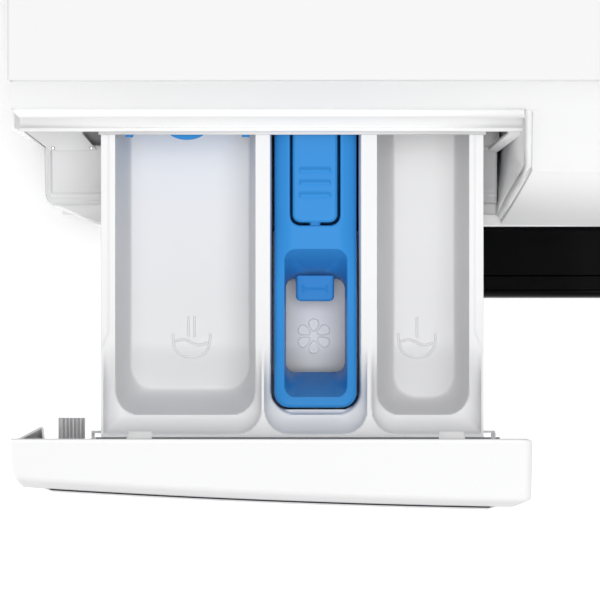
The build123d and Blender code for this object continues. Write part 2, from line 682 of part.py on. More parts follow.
def drainage():
    """Filter housing with its screw cap, pump with impeller, and the hoses."""
    with BuildPart() as housing:
        rod(FILTER_X, FILTER_Z, 32, -60, 38)
        rod(FILTER_X, FILTER_Z, 28, -56, 39, Mode.SUBTRACT)
        rod(FILTER_X, FILTER_Z, 12, -61, -50, Mode.SUBTRACT)
    save(housing, "filter_housing")
    with BuildPart() as cap:
        rod(FILTER_X, FILTER_Z, 31, 38.4, 42)
        rod(FILTER_X, FILTER_Z, 27.6, 20, 38.4)
        block(FILTER_X - 3, FILTER_X + 3, 42, 46.6, FILTER_Z - 24, FILTER_Z + 24)
    save(cap, "filter_cap")
    with BuildPart() as pump:
        rod(FILTER_X, FILTER_Z, 30, -92, -60.3)
        rod(FILTER_X, FILTER_Z, 26, -88, -64, Mode.SUBTRACT)
        rod(FILTER_X, FILTER_Z, 12, -70, -60, Mode.SUBTRACT)
        rod(FILTER_X, FILTER_Z, 24, -140, -92)
        rod(FILTER_X, FILTER_Z, 3 + RUN, -100, -80, Mode.SUBTRACT)
        post(FILTER_X, -76, 11, FILTER_Z + 24, FILTER_Z + 50)
        post(FILTER_X, -76, 8, FILTER_Z + 20, FILTER_Z + 52, Mode.SUBTRACT)
    save(pump, "drain_pump")
    with BuildPart() as impeller:
        rod(FILTER_X, FILTER_Z, 3, -99.5, -82)
        rod(FILTER_X, FILTER_Z, 19, -86, -84)
        block(FILTER_X - 18, FILTER_X + 18, -84, -70, FILTER_Z - 1, FILTER_Z + 1)
        block(FILTER_X - 1, FILTER_X + 1, -84, -70, FILTER_Z - 18, FILTER_Z + 18)
    save(impeller, "pump_impeller")
    hose_path = [(FILTER_X, -76, 116.5), (FILTER_X, -76, 145), (278, -76, 145), (278, -76, 660),
                 (DRAIN_X, -150, DRAIN_Z), (DRAIN_X, -500, DRAIN_Z)]
    with BuildPart() as hose:
        with BuildLine():
            FilletPolyline(*[(x, fwd(g), z) for x, g, z in hose_path], radius=26)
        with BuildSketch(Plane.XY.offset(116.5)):
            with Locations((FILTER_X, fwd(-76))):
                Circle(10.5)
        sweep()
        rod(DRAIN_X, DRAIN_Z, 11, -528, -499.5)
        rod(DRAIN_X, DRAIN_Z, 17, -510.2, -506)
        rod(DRAIN_X, DRAIN_Z, 8, -529, -501, Mode.SUBTRACT)
    save(hose, "drain_hose")
    with BuildPart() as gland:
        rod(-240, 120, 8, -520, -508)
        rod(-240, 120, 12, -510.2, -506)
        rod(-240, 120, 11, -518, -512.3)
        rod(-240, 120, 4, -525, -500, Mode.SUBTRACT)
    save(gland, "mains_gland")
    with BuildPart() as sump:
        post(60, -140, 15, 120, 180)
        with BuildSketch(Plane.YZ.offset(60)):
            with Locations((fwd(-140), 118)):
                Circle(15)
        extrude(amount=60)
    save(sump, "sump_hose")


side_panels()
rear_panel()
base_tray()
feet()
worktop()
front_panel()
plinth_panel()
fascia()
controls()
recess_panel()
dispenser()
drawer_front()
drawer_tray()
drawer_fittings()
drawer_inserts()
door()
tub()
drum()
suspension()
drainage()
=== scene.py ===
import math
import bmesh
import bpy
import numpy as np
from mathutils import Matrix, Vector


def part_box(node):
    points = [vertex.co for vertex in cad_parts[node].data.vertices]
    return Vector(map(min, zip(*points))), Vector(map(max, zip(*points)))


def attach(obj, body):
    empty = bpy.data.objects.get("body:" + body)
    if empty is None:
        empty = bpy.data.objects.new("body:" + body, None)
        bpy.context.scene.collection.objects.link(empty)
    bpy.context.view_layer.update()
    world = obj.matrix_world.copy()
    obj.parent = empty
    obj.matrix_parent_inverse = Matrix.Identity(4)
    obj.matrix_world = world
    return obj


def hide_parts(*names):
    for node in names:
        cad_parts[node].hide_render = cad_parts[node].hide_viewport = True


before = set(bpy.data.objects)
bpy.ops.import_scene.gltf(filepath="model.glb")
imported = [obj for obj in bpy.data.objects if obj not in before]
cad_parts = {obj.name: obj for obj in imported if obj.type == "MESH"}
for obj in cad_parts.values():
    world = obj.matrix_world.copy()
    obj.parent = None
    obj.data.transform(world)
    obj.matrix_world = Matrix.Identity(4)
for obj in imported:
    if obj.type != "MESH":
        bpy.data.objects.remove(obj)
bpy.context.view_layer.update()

# ------------------------------------------------------------------ camera
# The view is straight down on the open drawer from far off, so parallel walls stay parallel.
# It covers 250 mm, centred 178 mm left of the middle and 91 mm ahead of the worktop's edge.
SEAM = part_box("worktop")[0].y
view_width, view_height_above, aim_height = 0.25, 9.72, 0.775
view_centre_x, view_centre_ahead = -0.1780, 0.0908
camera_data = bpy.data.cameras.new("plan_camera")
camera_data.sensor_width = 36.0
camera_data.lens = camera_data.sensor_width * view_height_above / view_width
camera_data.clip_end = 40.0
camera = bpy.data.objects.new("plan_camera", camera_data)
camera.location = (view_centre_x, SEAM - view_centre_ahead, aim_height + view_height_above)
bpy.context.scene.collection.objects.link(camera)
bpy.context.scene.camera = camera


# ------------------------------------------------------------------ worktop
# A 22 mm laminated board, satin white, whose edges are rounded over above the fascia's seam.
# It is screwed to the side panels from inside, so no fixing shows.

class Socket:
    """A shader socket that Python's operators work on: each adds the Math node it stands for."""

    def __init__(self, tree, socket):
        self.tree, self.socket = tree, socket

    def node(self, kind, settings=None, **inputs):
        """Adds a node: settings first, then its inputs by name (spaces as _), and gives its first output."""
        made = self.tree.nodes.new(kind)
        for key, value in (settings or {}).items():
            if key == "stops":
                ramp = made.color_ramp.elements
                while len(ramp) < len(value):
                    ramp.new(0.5)
                for stop, (place_at, colour) in zip(ramp, value):
                    stop.position, stop.color = place_at, (*colour, 1.0)
            else:
                setattr(made, key, value)
        for key, value in inputs.items():
            numbered = key[0] == "i" and key[1:].isdigit()
            target = made.inputs[int(key[1:]) if numbered else key.replace("_", " ")]
            if isinstance(value, Socket):
                self.tree.links.new(value.socket, target)
            else:
                target.default_value = value
        return Socket(self.tree, made.outputs[0])

    def math(self, operation, *values):
        return self.node("ShaderNodeMath", {"operation": operation},
                         **{f"i{k}": v for k, v in enumerate(values)})

    def __add__(self, other):
        return self.math("ADD", self, other)

    def __sub__(self, other):
        return self.math("SUBTRACT", self, other)

    def __mul__(self, other):
        return self.math("MULTIPLY", self, other)

    def __truediv__(self, other):
        return self.math("DIVIDE", self, other)

    def __rsub__(self, other):
        return self.math("SUBTRACT", other, self)

    def __lt__(self, other):
        return self.math("LESS_THAN", self, other)

    def __gt__(self, other):
        return self.math("GREATER_THAN", self, other)

    __radd__, __rmul__ = __add__, __mul__


def new_material(name):
    """An empty node material: gives it, its Principled shader, and the object's own coordinates."""
    made = bpy.data.materials.new(name)
    made.use_nodes = True
    tree = made.node_tree
    shader = next(n for n in tree.nodes if n.type == "BSDF_PRINCIPLED")
    place_on = tree.nodes.new("ShaderNodeTexCoord")
    return made, shader, Socket(tree, place_on.outputs["Object"])


def moulded(name, colour, rough, grain=900.0, relief=0.00001, specular=0.5, mottle=0.015, coat=0.0,
            shade=None,
             metal=0.0):
    """Moulded or painted finish: colour mottled a little, roughness varied, and a fine skin texture.

    shade = (high, low, share) is painted shade: it darkens the tint by share from the height high down to
    low, in metres."""
    made, shader, where = new_material(name)
    cloud = where.node("ShaderNodeTexNoise", None, Vector=where, Scale=9.0, Detail=3.0)
    skin = where.node("ShaderNodeTexNoise", None, Vector=where, Scale=grain, Detail=2.0)
    dark = tuple(c * (1.0 - mottle) for c in colour)
    tint = where.node("ShaderNodeValToRGB", {"stops": [(0.3, dark), (0.7, colour)]}, Fac=cloud)
    link = made.node_tree.links.new
    # Painted shade: the tint is scaled darker with height, from full at high down to 1 - share at low.
    if shade:
        axes = where.node("ShaderNodeSeparateXYZ", None, Vector=where).socket.node.outputs
        depth = where.node("ShaderNodeMapRange", {"interpolation_type": "SMOOTHSTEP"},
                           Value=Socket(where.tree, axes[2]),
                           From_Min=shade[0], From_Max=shade[1], To_Min=1.0, To_Max=1.0 - shade[2])
        tint = where.node("ShaderNodeVectorMath", {"operation": "SCALE"}, Vector=tint, Scale=depth)
    link(tint.socket, shader.inputs["Base Color"])
    link((cloud * 0.08 + (rough - 0.04)).socket, shader.inputs["Roughness"])
    bump = where.node("ShaderNodeBump", None, Height=skin, Distance=relief, Strength=0.5)
    link(bump.socket, shader.inputs["Normal"])
    shader.inputs["Specular IOR Level"].default_value = specular
    shader.inputs["Coat Weight"].default_value = coat
    shader.inputs["Coat Roughness"].default_value = 0.08
    shader.inputs["Metallic"].default_value = metal
    return made


def place(x, g, z):
    """Points in metres from millimetres across, ahead of the worktop's front edge, and up."""
    return np.stack(np.broadcast_arrays(np.asarray(x, float) / 1000, SEAM - np.asarray(g, float) / 1000,
                                        np.asarray(z, float) / 1000), -1)


def grid_faces(rows, cols, start=0, keep=None, wrap=False):
    """Quads between neighbouring points of a grid; wrap also joins the last column to the first."""
    index = start + np.arange(rows * cols).reshape(rows, cols)
    right = np.roll(index, -1, 1) if wrap else index[:, 1:]
    left = index if wrap else index[:, :-1]
    quads = np.stack([left[:-1], right[:-1], right[1:], left[1:]], -1)
    return quads[keep] if keep is not None else quads.reshape(-1, 4)


def build(name, grids, body, material, replaces=(), out=None, wall=0.0, round_edge=0.0,
          fill=False, smooth=35.0, wrap=False, keep=None, weld=0.00001):
    """One piece from grids of points: welded, turned outwards, given a wall and rounded edges if asked."""
    points, quads, start = [], [], 0
    for k, grid in enumerate(grids):
        rows, cols = grid.shape[:2]
        points.append(grid.reshape(-1, 3))
        quads.append(grid_faces(rows, cols, start, keep if k == 0 else None, wrap))
        start += rows * cols
    mesh = bpy.data.meshes.new(name)
    mesh.from_pydata(np.concatenate(points), [], np.concatenate(quads))
    work = bmesh.new()
    work.from_mesh(mesh)
    bmesh.ops.remove_doubles(work, verts=work.verts, dist=weld)
    loose = [v for v in work.verts if not v.link_faces]
    bmesh.ops.delete(work, geom=loose, context="VERTS")
    if fill:
        bmesh.ops.holes_fill(work, edges=[e for e in work.edges if e.is_boundary], sides=0)
    bmesh.ops.recalc_face_normals(work, faces=work.faces)
    if out is not None:
        work.normal_update()
        lean = sum(f.normal.dot(out) * f.calc_area() for f in work.faces)
        if lean < 0:
            bmesh.ops.reverse_faces(work, faces=work.faces)
    work.to_mesh(mesh)
    work.free()
    mesh.polygons.foreach_set("use_smooth", np.ones(len(mesh.polygons), bool))
    mesh.set_sharp_from_angle(angle=math.radians(smooth))
    made = bpy.data.objects.new(name, mesh)
    bpy.context.scene.collection.objects.link(made)
    mesh.materials.append(material)
    if wall:
        solid = made.modifiers.new("wall", "SOLIDIFY")
        solid.thickness, solid.offset = wall / 1000, -1.0
    if round_edge:
        bevel = made.modifiers.new("edge", "BEVEL")
        bevel.width, bevel.segments, bevel.limit_method = round_edge / 1000, 2, "ANGLE"
        bevel.angle_limit = math.radians(40)
        bevel.harden_normals = False
    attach(made, body)
    if replaces:
        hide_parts(*replaces)
    return made


def sweep_profile(profile, xs):
    """A closed outline of (g, z) points carried straight across at each x, one row for each x."""
    outline = np.array(profile + profile[:1], float)
    return place(np.asarray(xs, float)[:, None], outline[None, :, 0], outline[None, :, 1])


laminate = moulded("satin_laminate", (0.72, 0.72, 0.72), 0.4, grain=1400.0, relief=0.000006, specular=0.25)
turn = np.linspace(0, math.pi / 2, 14)
nose = [(-1.4 + 1.4 * math.sin(t), 846.6 + 1.4 * math.cos(t)) for t in turn]
board_outline = nose + [(0.0, 826.25), (-530.0, 826.25), (-530.0, 848.0)]
build("worktop_board", [sweep_profile(board_outline, (-299, -298.4, -150, 0, 150, 298.4, 299))], "root",
      laminate, ("worktop",), fill=True, round_edge=0.9, smooth=50)


# ------------------------------------------------------------------ control fascia
# One white moulding 598 mm wide and bowed in plan. Its face slopes forward to a crisp crease and a chin
# below, darker partly by its slope and partly by painted shade; the bay for the drawer is cut out of its
# left part.
# Snapped to the front frame.

SEAM_Z, BAY_TOP, CREASE_Z, CHIN_FOOT = 826.0, 806.0, 761.0, 706.4
FACE_HEIGHT, CHIN_HEIGHT = SEAM_Z - CREASE_Z, CREASE_Z - CHIN_FOOT
END_X, BAY_SIDE, BAY_CORNER, BROW_G = 298.0, -81.2, 3.4, 11.69


def smaller(a, b, soft):
    """The smaller of two values, with the corner between them rounded over about soft."""
    return (a + b) / 2 - np.sqrt(((a - b) / 2) ** 2 + soft ** 2)


def crease(x):
    """How far the crease stands ahead of the seam: 38 mm at the middle, less a parabola to the ends."""
    return 38.0 - 10.5 * (np.asarray(x, float) / 299.0) ** 2


def fascia_depth(x, z):
    """Face from the seam to the crease, chin from there to its foot; straight in plan over the bay."""
    straight = np.clip((BAY_SIDE - x) / 30.0, 0, 1)
    bowed_face = crease(x) * (SEAM_Z - z) / FACE_HEIGHT
    straight_face = BROW_G * (SEAM_Z - z) / (SEAM_Z - BAY_TOP)
    face = bowed_face * (1 - straight) + straight_face * straight
    fall = np.clip((CREASE_Z - z) / CHIN_HEIGHT, 0, 1)
    chin = crease(x) + 22.0 * fall * (1.12 - 0.12 * fall)
    bead = 0.3 * np.exp(-((z - CREASE_Z) / 0.7) ** 2)
    end = np.clip((np.abs(x) - 282.0) / 16.0, 0, 1)
    end_plan = 24.6 + 36.0 * np.sqrt(1 - end ** 2) ** 0.75
    return np.minimum(smaller(face, chin, 0.25) + bead, end_plan)


# Painted shade: this white darkens by up to 32 % from 764 mm down to 708 mm, so the chin and the parts below
# it read darker than the lights alone make them.
white = moulded("white_moulding_painted_shade", (0.815, 0.815, 0.817), 0.42, grain=1100.0, relief=0.000006, specular=0.2,
                shade=(0.764, 0.708, 0.32))
low_z = np.concatenate([np.linspace(BAY_TOP, BAY_TOP - BAY_CORNER, 8)[:-1],
                        np.linspace(BAY_TOP - BAY_CORNER, 764, 14)[:-1], np.linspace(764, 758, 9)[:-1],
                        np.linspace(758, CHIN_FOOT, 24)])
top_z = np.linspace(825.7, BAY_TOP, 8)
corner = np.clip((low_z - (BAY_TOP - BAY_CORNER)) / BAY_CORNER, 0, 1)
bay_edge = BAY_SIDE - BAY_CORNER * (1 - np.sqrt(1 - corner ** 2))
bay_edge -= 12.6 * np.clip((CREASE_Z - low_z) / CHIN_HEIGHT, 0, 1)
across = np.concatenate([np.linspace(0, 0.94, 60), 0.94 + 0.06 * np.sin(np.linspace(0.05, math.pi / 2, 14))])
lower_x = bay_edge[:, None] + (END_X - bay_edge[:, None]) * across[None, :]
lower = place(lower_x, fascia_depth(lower_x, low_z[:, None]), low_z[:, None])
upper_x = np.concatenate([np.linspace(-END_X, lower_x[0, 0], 40)[:-1], lower_x[0]])
upper = place(upper_x[None, :], fascia_depth(upper_x[None, :], top_z[:, None]), top_z[:, None])
all_z = np.concatenate([top_z[:-1], low_z])
back = np.linspace(1, 0, 6)[:, None]
right_side = place(END_X, -1.5 + back * (fascia_depth(END_X, all_z) + 1.5)[None, :], all_z[None, :])
left_side = place(-END_X, -1.5 + back * (fascia_depth(-END_X, top_z) + 1.5)[None, :], top_z[None, :])
under_chin = place(lower_x[-1][None, :], fascia_depth(lower_x[-1], CHIN_FOOT) - 16 * (1 - back), CHIN_FOOT)
top_return = place(upper_x[None, :], -30.0 * (1 - back), 825.7)
build("fascia_moulding", [upper, lower, right_side, left_side, under_chin, top_return], "root", white,
      ("fascia",), out=(0, -0.8, 0.6), wall=2.4, round_edge=0.45, smooth=28, weld=0.00002)


# ------------------------------------------------------------------ drawer bay
# White liner moulded behind the fascia: a chamfered frame, an overhanging ledge that the drawer front
# shuts against, a shallow ceiling plate with two screws, and a dished finger ramp below it. The frame and
# ledge are painted a lighter white as light, and the parts deeper in a darker grey as shade.

def inside_round(x, g, x0, x1, g0, g1, radius):
    """Distance in from the edge of a rectangle with rounded corners, negative outside."""
    cx, cg = (x0 + x1) / 2, (g0 + g1) / 2
    qx = np.abs(x - cx) - ((x1 - x0) / 2 - radius)
    qg = np.abs(g - cg) - ((g1 - g0) / 2 - radius)
    return radius - np.hypot(np.maximum(qx, 0), np.maximum(qg, 0)) - np.minimum(np.maximum(qx, qg), 0)


def ease(t):
    """Smooth step from 0 to 1."""
    t = np.clip(t, 0, 1)
    return t * t * (3 - 2 * t)


def ribbon(*edges):
    """A ruled surface: each edge is a list of (x, g, z) corners, and rows run from edge to edge."""
    edges = [np.array(e, float) for e in edges]
    return place(*np.moveaxis(np.stack(edges), -1, 0))


def line_points(points, count):
    """A polyline of (x, g, z) corners, divided evenly by length into count points."""
    corners = np.array(points, float)
    run = np.concatenate([[0], np.cumsum(np.linalg.norm(np.diff(corners, axis=0), axis=1))])
    at = np.linspace(0, run[-1], count)
    return np.stack([np.interp(at, run, corners[:, k]) for k in range(3)], -1)


def bay_piece(name, *grids, wall, out=(0, 0, 1), finish=None, round_edge=0.0):
    """A moulded piece of the bay that replaces no made part: its grids, given a wall."""
    build(name, list(grids), "root", finish or liner, (), out=out, wall=wall,
          round_edge=round_edge)


# Painted shade: the same white plastic given a grey tint (0.66 against the fascia's 0.815) for the shade
# inside the bay.
liner = moulded("bay_liner_painted_shade", (0.66, 0.66, 0.665), 0.42, grain=900.0, relief=0.00001, specular=0.25)
arc = np.linspace(0, math.pi / 2, 8)
brow_outer = [(-298.0, 11.6, 806.0), (-296.0, 11.69, 806.0), (-190.0, 11.69, 806.0), (-84.7, 11.6, 805.9)]
brow_inner = [(-294.7, 15.1, 804.3), (-294.2, 15.1, 804.4), (-190.0, 15.1, 804.4), (-84.7, 15.1, 804.3)]
outer_edge = [(-84.6 + 3.4 * math.sin(t), 802.6 + 3.4 * math.cos(t)) for t in arc]
outer_edge += [(BAY_SIDE, 790.0), (BAY_SIDE, 775.0), (BAY_SIDE, CREASE_Z), (-83.1, 752.8), (-84.7, 745.8),
               (-89.2, 726.0), (-93.8, CHIN_FOOT)]
frame_outer = [(x, float(fascia_depth(x, z)) - 2.0, z) for x, z in outer_edge]
inner_z = [803.6 - 13.0 * math.sin(t) for t in arc] + [783.0, 770.0, 757.5]
frame_inner = [(-84.6, float(fascia_depth(-84.6, z)) - 3.8, z) for z in inner_z] + [
    (-86.8, 39.2, 733.0), (-88.0, 40.9, 727.0), (-92.0, 48.0, 718.0), (-95.7, 55.2, 707.0)]
left = -294.7
ledge_rows = [(9.0, 795.0), (13.0, 783.0), (15.1, 780.2), (17.0, 778.2), (18.9, 776.4), (19.25, 776.7),
              (20.2, 776.2), (20.6, 775.2), (20.6, 771.6)]
ledge_g, ledge_z = np.array(ledge_rows).T[:, :, None]
ledge = place(np.array([[left, -200, -140, -84.6]]), ledge_g, ledge_z)
# Painted light: the frame, brow and ledge are the same white plastic given a lighter tint (0.90 against
# 0.815).
build("bay_frame", [ribbon(frame_outer, frame_inner), ribbon(brow_outer, brow_inner), ledge], "root",
      moulded("bay_frame_painted_light", (0.90, 0.90, 0.90), 0.4, specular=0.2), ("recess_panel",),
      out=(0, -0.7, 0.7), wall=0.5, smooth=30)
roof_rows = [(18.0, 771.9), (20.2, 771.7), (21.6, 771.2), (21.9, 770.7), (21.6, 770.3)]
roof_g, roof_z = np.array(roof_rows).T[:, :, None]
bay_piece("bay_roof_lip", place(np.array([[-262, -181, -100.5]]), roof_g, roof_z), wall=0.3,
          out=(0, -0.3, 1))

ceiling_left = ribbon([(-297.0, -1.0, 733.6), (-292.6, 20.6, 728.7), (-282.7, 28.3, 727.0)],
                      [(-275.0, -1.0, 733.6), (-275.0, 20.6, 728.7), (-275.0, 28.3, 727.0)],
                      [(-268.9, -1.0, 733.6), (-268.9, 21.4, 728.6), (-262.9, 28.3, 727.0)])
ceiling_right = ribbon([(-91.6, 19.0, 770.2), (-91.3, 21.7, 767.0), (-99.2, 28.3, 729.5)],
                       [(-85.0, 19.0, 769.8), (-85.4, 21.7, 767.0), (-95.0, 28.9, 728.5)])
bay_piece("bay_shelf_left", ceiling_left, wall=1.8, round_edge=0.5)
bay_piece("bay_shelf_right", ceiling_right, wall=1.8, round_edge=0.5)


RAMP_FRONT, RAMP_END, RAMP_CORNER = 50.8, -284.9, 3.4


def dish_height(x, g, end):
    """Finger ramp: a plane sloping down forward whose left end and front turn up into a stepped rim.

    The rim is set by how far a point lies in from a rounded outline, measured 1.8 times finer along g."""
    inward = inside_round(x, (g - RAMP_FRONT) / 1.8, end, 0.0, -99.0, 0.0, RAMP_CORNER)
    floor = 722.0 - 0.70 * (g - 29.6)
    turn_up = 2.2 * (1 - ease((inward - 2.0) / 1.4))
    groove = 0.5 * ease((0.45 - np.abs(inward - 1.3)) / 0.3)
    rolled = 1.6 * (1 - ease(inward / 0.6))
    return floor + turn_up - groove - rolled


dish_g = np.concatenate([np.linspace(26.5, 42, 12), np.linspace(42.5, RAMP_FRONT, 44)])
dish_u = np.concatenate([np.linspace(0, 7.0, 40), np.linspace(8, 26.9, 8)])
dish_grid_u, dish_grid_g = np.meshgrid(dish_u, dish_g)
into_corner = np.clip(((dish_grid_g - RAMP_FRONT) / 1.8 + RAMP_CORNER) / RAMP_CORNER, 0, 1)
corner_cut = RAMP_CORNER * (1 - np.sqrt(1 - into_corner ** 2))
dish_grid_x = RAMP_END + corner_cut + dish_grid_u * (26.9 - corner_cut) / 26.9
dish = place(dish_grid_x, dish_grid_g, dish_height(dish_grid_x, dish_grid_g, RAMP_END))
bay_piece("finger_ramp_left", dish, wall=1.4)
# Painted shade: the right-hand ramp, in the narrow gap beside the tray, is tinted dark grey.
ramp_x = np.linspace(-104.0, -95.5, 8)
ramp_grid_x, ramp_grid_g = np.meshgrid(ramp_x, np.linspace(26.5, 55.0, 34))
ramp = place(ramp_grid_x, ramp_grid_g, dish_height(ramp_grid_x, np.minimum(ramp_grid_g, RAMP_FRONT), -160.0))
bay_piece("finger_ramp_right", ramp, wall=1.6, finish=moulded("ramp_painted_shade", (0.42, 0.42, 0.425), 0.45))
side_top = line_points([(-84.6, 14.0, 789.5), (-84.6, 34.8, 756.8), (-86.8, 39.2, 733.0),
                        (-88.0, 40.9, 727.0), (-92.0, 48.0, 718.0), (-95.7, 55.2, 707.2)], 40)
side_low = line_points([(-95.2, 1.5, 722.0), (-95.2, 45.0, 710.5), (-95.7, 55.2, 706.6)], 40)
bay_piece("bay_side_wall", ribbon(side_top, (side_top + side_low) / 2, side_low), wall=1.2, out=(-1, 0, 0.2))
cheek = place(np.array([[-297.6, -294.3]]), np.array([[-1.0], [19.2]]), 724.6)
bay_piece("bay_cheek", cheek, wall=2.0, round_edge=0.4)
cheek_plan = [(-298.9, -1.0, 742.0), (-298.9, 11.0, 726.0), (-294.8, 15.1, 725.0), (-294.8, 19.6, 725.0),
              (-285.2, 27.2, 725.0), (-285.0, 31.0, 720.0), (-284.9, 40.0, 714.5), (-284.8, 47.0, 709.0)]
bay_piece("bay_left_wall", ribbon(cheek_plan, [(x, g, 703.6) for x, g, z in cheek_plan]), wall=0.5,
          out=(-1, -0.3, 0), finish=white)
# Painted shade: grey plates in the liner's grey tint lie under the openings beside the tray, where only
# shade shows.
shade_plate = place(np.array([[-283.0, -258.5]]), np.array([[-1.0], [28.0]]), np.array([[716.5], [716.0]]))
shade_plate_right = place(np.array([[-102.5, -94.5]]), np.array([[-1.0], [28.0]]),
                          np.array([[724.5], [724.0]]))
bay_piece("bay_sub_shelf", shade_plate, shade_plate_right, wall=1.2)
back_wall = place(np.array([[-297.0, -262.4]]), 1.5, np.array([[772.0], [733.0]]))
bay_piece("bay_back_wall", back_wall, wall=1.5, out=(0, -1, 0))

# Two small countersunk screws hold the shelf; only their heads show at its front edge.
steel = moulded("zinc_screw", (0.42, 0.42, 0.43), 0.3, grain=500.0, mottle=0.1, metal=1.0)
around = np.linspace(0, 2 * math.pi, 25)[:-1]
for k, screw_x in enumerate((-281.4, -265.4)):
    rings = [(0.05, 0.2), (0.5, 0.25), (0.75, 0.1), (0.8, -0.3)]
    head = place(np.array([[screw_x + r * math.cos(a) for a in around] for r, h in rings]),
                 np.array([[27.3 + r * math.sin(a) for a in around] for r, h in rings]),
                 np.array([[727.4 + h for a in around] for r, h in rings]))
    build(f"bay_screw_{k + 1}", [head], "root", steel, (), out=(0, 0, 1), wrap=True,
          fill=True)


# ------------------------------------------------------------------ front panel
# Deep drawn steel sheet, white enamel, with canted corners and a round door hole.
# Its top edge is folded back as a flange that closes the gap under the drawer bay.

enamel = moulded("white_enamel", (0.84, 0.84, 0.842), 0.22, grain=260.0, relief=0.00003, coat=0.3)
hole_radius, axle_height = 178.0, 440.0
half_plan = [(-294.5, 19.9), (-288.6, 24.3), (-285.6, 27.6), (-284.9, 30.5), (-284.3, 47.1), (-283.6, 49.2),
             (-282.2, 50.8), (-279.6, 52.2), (-264.5, 58.9), (-261.0, 59.6), (-257.0, 59.9)]
plan = half_plan + [(-x, g) for x, g in reversed(half_plan)]
panel_low, panel_high = 90.0, 704.0
spokes = 256
angle = np.arange(spokes) * 2 * math.pi / spokes
edge_above, edge_below, edge_aside = panel_high - axle_height - 1.5, axle_height - panel_low - 1.5, 257.0
reach_up = np.where(np.sin(angle) > 0, edge_above, edge_below) / np.maximum(np.abs(np.sin(angle)), 1e-6)
reach = np.minimum(edge_aside / np.maximum(np.abs(np.cos(angle)), 1e-6), reach_up)
share = np.array([0, 0.01, 0.03, 0.08, 0.3, 0.6, 1.0])[:, None]
spread = hole_radius + (reach - hole_radius)[None, :] * share
dip = np.array([4.0, 1.4, 0.3, 0, 0, 0, 0])[:, None]
face_sheet = place(spread * np.cos(angle), 59.9 - dip + 0 * spread, axle_height + spread * np.sin(angle))
build("front_sheet", [face_sheet], "root", enamel, ("front_panel",), out=(0, -1, 0),
      wrap=True, wall=1.2, smooth=30)
for name, edges in (("front_side_left", half_plan),
                    ("front_side_right", [(-x, g) for x, g in reversed(half_plan)])):
    heights = [panel_high, 703.4, 702.5, 400.0, 91.5, panel_low]
    inset = [0.9, 0.25, 0.0, 0.0, 0.0, 0.9]
    side = [[(x - math.copysign(i, x) * 0.5, g - i, z) for x, g in edges] for z, i in zip(heights, inset)]
    build(name, [ribbon(*side)], "root", enamel, (), out=(0, -1, 0), wall=1.2, smooth=30)
for name, way in (("front_corner_left", 1), ("front_corner_right", -1)):
    post = [(x * way, g) for x, g in half_plan[:5]] + [(-282.0 * way, 48.4)]
    build(name, [ribbon([(x, g, 90.5) for x, g in post], [(x, g, 18.5) for x, g in post])], "root", enamel,
          (), out=(0, -1, 0), wall=0.8)
edge_g, edge_z = np.array([(59.0, panel_high), (59.65, 703.4), (59.9, 702.5)]).T[:, :, None]
for name, height in (("front_top_edge", edge_z), ("front_foot_edge", panel_high + panel_low - edge_z)):
    build(name, [place(np.array([[-edge_aside, 0, edge_aside]]), edge_g, height)], "root", enamel, (),
          out=(0, -1, 0), wall=1.0)
flange_z = 703.9
flange = ribbon([(x, g - 0.9, flange_z) for x, g in plan],
                [(x * 0.98, 21.0 if abs(x) > 280 else 24.0, flange_z) for x, g in plan])
build("front_top_flange", [flange], "root", enamel, (), out=(0, 0, 1), wall=1.0)


# ------------------------------------------------------------------ drawer front
# Bowed white moulding that carries on the fascia's slope and crease, with a steep grip chin below it
# that is painted darker as shade. A bright lip runs along its lower edge behind a narrow joint, a near-black
# strip painted as the joint's shadow; its left end turns back inboard.

TRAVEL = 136.5
FRONT_TOP, LIP_Z, GRIP_HEIGHT, RIM_G = 803.5, 727.4, 35.0, 13.15


def drawer_depth(x, z):
    """Face from 13.15 mm at the top rim to the crease, steep grip below, left end rounded in plan."""
    face = RIM_G + (crease(x) + 0.15 - RIM_G) * (FRONT_TOP - z) / (FRONT_TOP - CREASE_Z)
    grip = crease(x) + 0.15 + (3.9 + 0.9 * (-90.0 - x) / 190.0) * (CREASE_Z - z) / GRIP_HEIGHT
    end = np.clip((-280.5 - x) / 17.5, 0, 1)
    plan_edge = 23.6 + 14.0 * np.sqrt(1 - end ** 2) ** 1.05
    shaped = smaller(face, grip, 0.35) + 0.3 * np.exp(-((z - CREASE_Z) / 0.7) ** 2)
    return np.minimum(shaped, np.where(end > 0, plan_edge, 99.0))


front_z = np.concatenate([np.linspace(FRONT_TOP, FRONT_TOP - 1.2, 5)[:-1],
                          np.linspace(FRONT_TOP - 1.2, 765, 16)[:-1],
                          np.linspace(765, 757, 12)[:-1], np.linspace(757, LIP_Z, 18)])
front_u = np.concatenate([1 - np.cos(np.linspace(0, math.pi / 2, 22)[:-1]), [1.0]]) * 0.12
front_u = np.concatenate([front_u, np.linspace(0.12, 1, 60)[1:]])
corner_top = 2.3 * (1 - np.sqrt(1 - np.clip((front_z - (FRONT_TOP - 2.3)) / 2.3, 0, 1) ** 2))
front_end = -81.5 - corner_top - 8.2 * np.clip((CREASE_Z - front_z) / GRIP_HEIGHT, 0, 1) ** 1.15
front_x = -END_X + (front_end[:, None] + END_X) * front_u[None, :]
rim_round = 0.75 * (1 - np.sqrt(1 - np.clip((front_z - (FRONT_TOP - 1.2)) / 1.2, 0, 1) ** 2))
front_g = drawer_depth(front_x, front_z[:, None]) - rim_round[:, None] + TRAVEL
skin = place(front_x, front_g, front_z[:, None])
left_return = place(-END_X, TRAVEL + 12.4 + back * (front_g[:, 0] - TRAVEL - 12.4)[None, :],
                    front_z[None, :])
# Painted shade: the drawer front's white darkens by 20 % over the first 19.5 mm below the crease.
front_white = moulded("drawer_front_white_painted_shade", (0.79, 0.79, 0.792), 0.42, grain=1100.0, relief=0.000006,
                      specular=0.2, shade=(0.7615, 0.742, 0.2))
build("drawer_front_moulding", [skin, left_return], "drawer", front_white, ("drawer_front",),
      out=(0, -0.8, 0.5), wall=1.1, smooth=30, weld=0.00002)

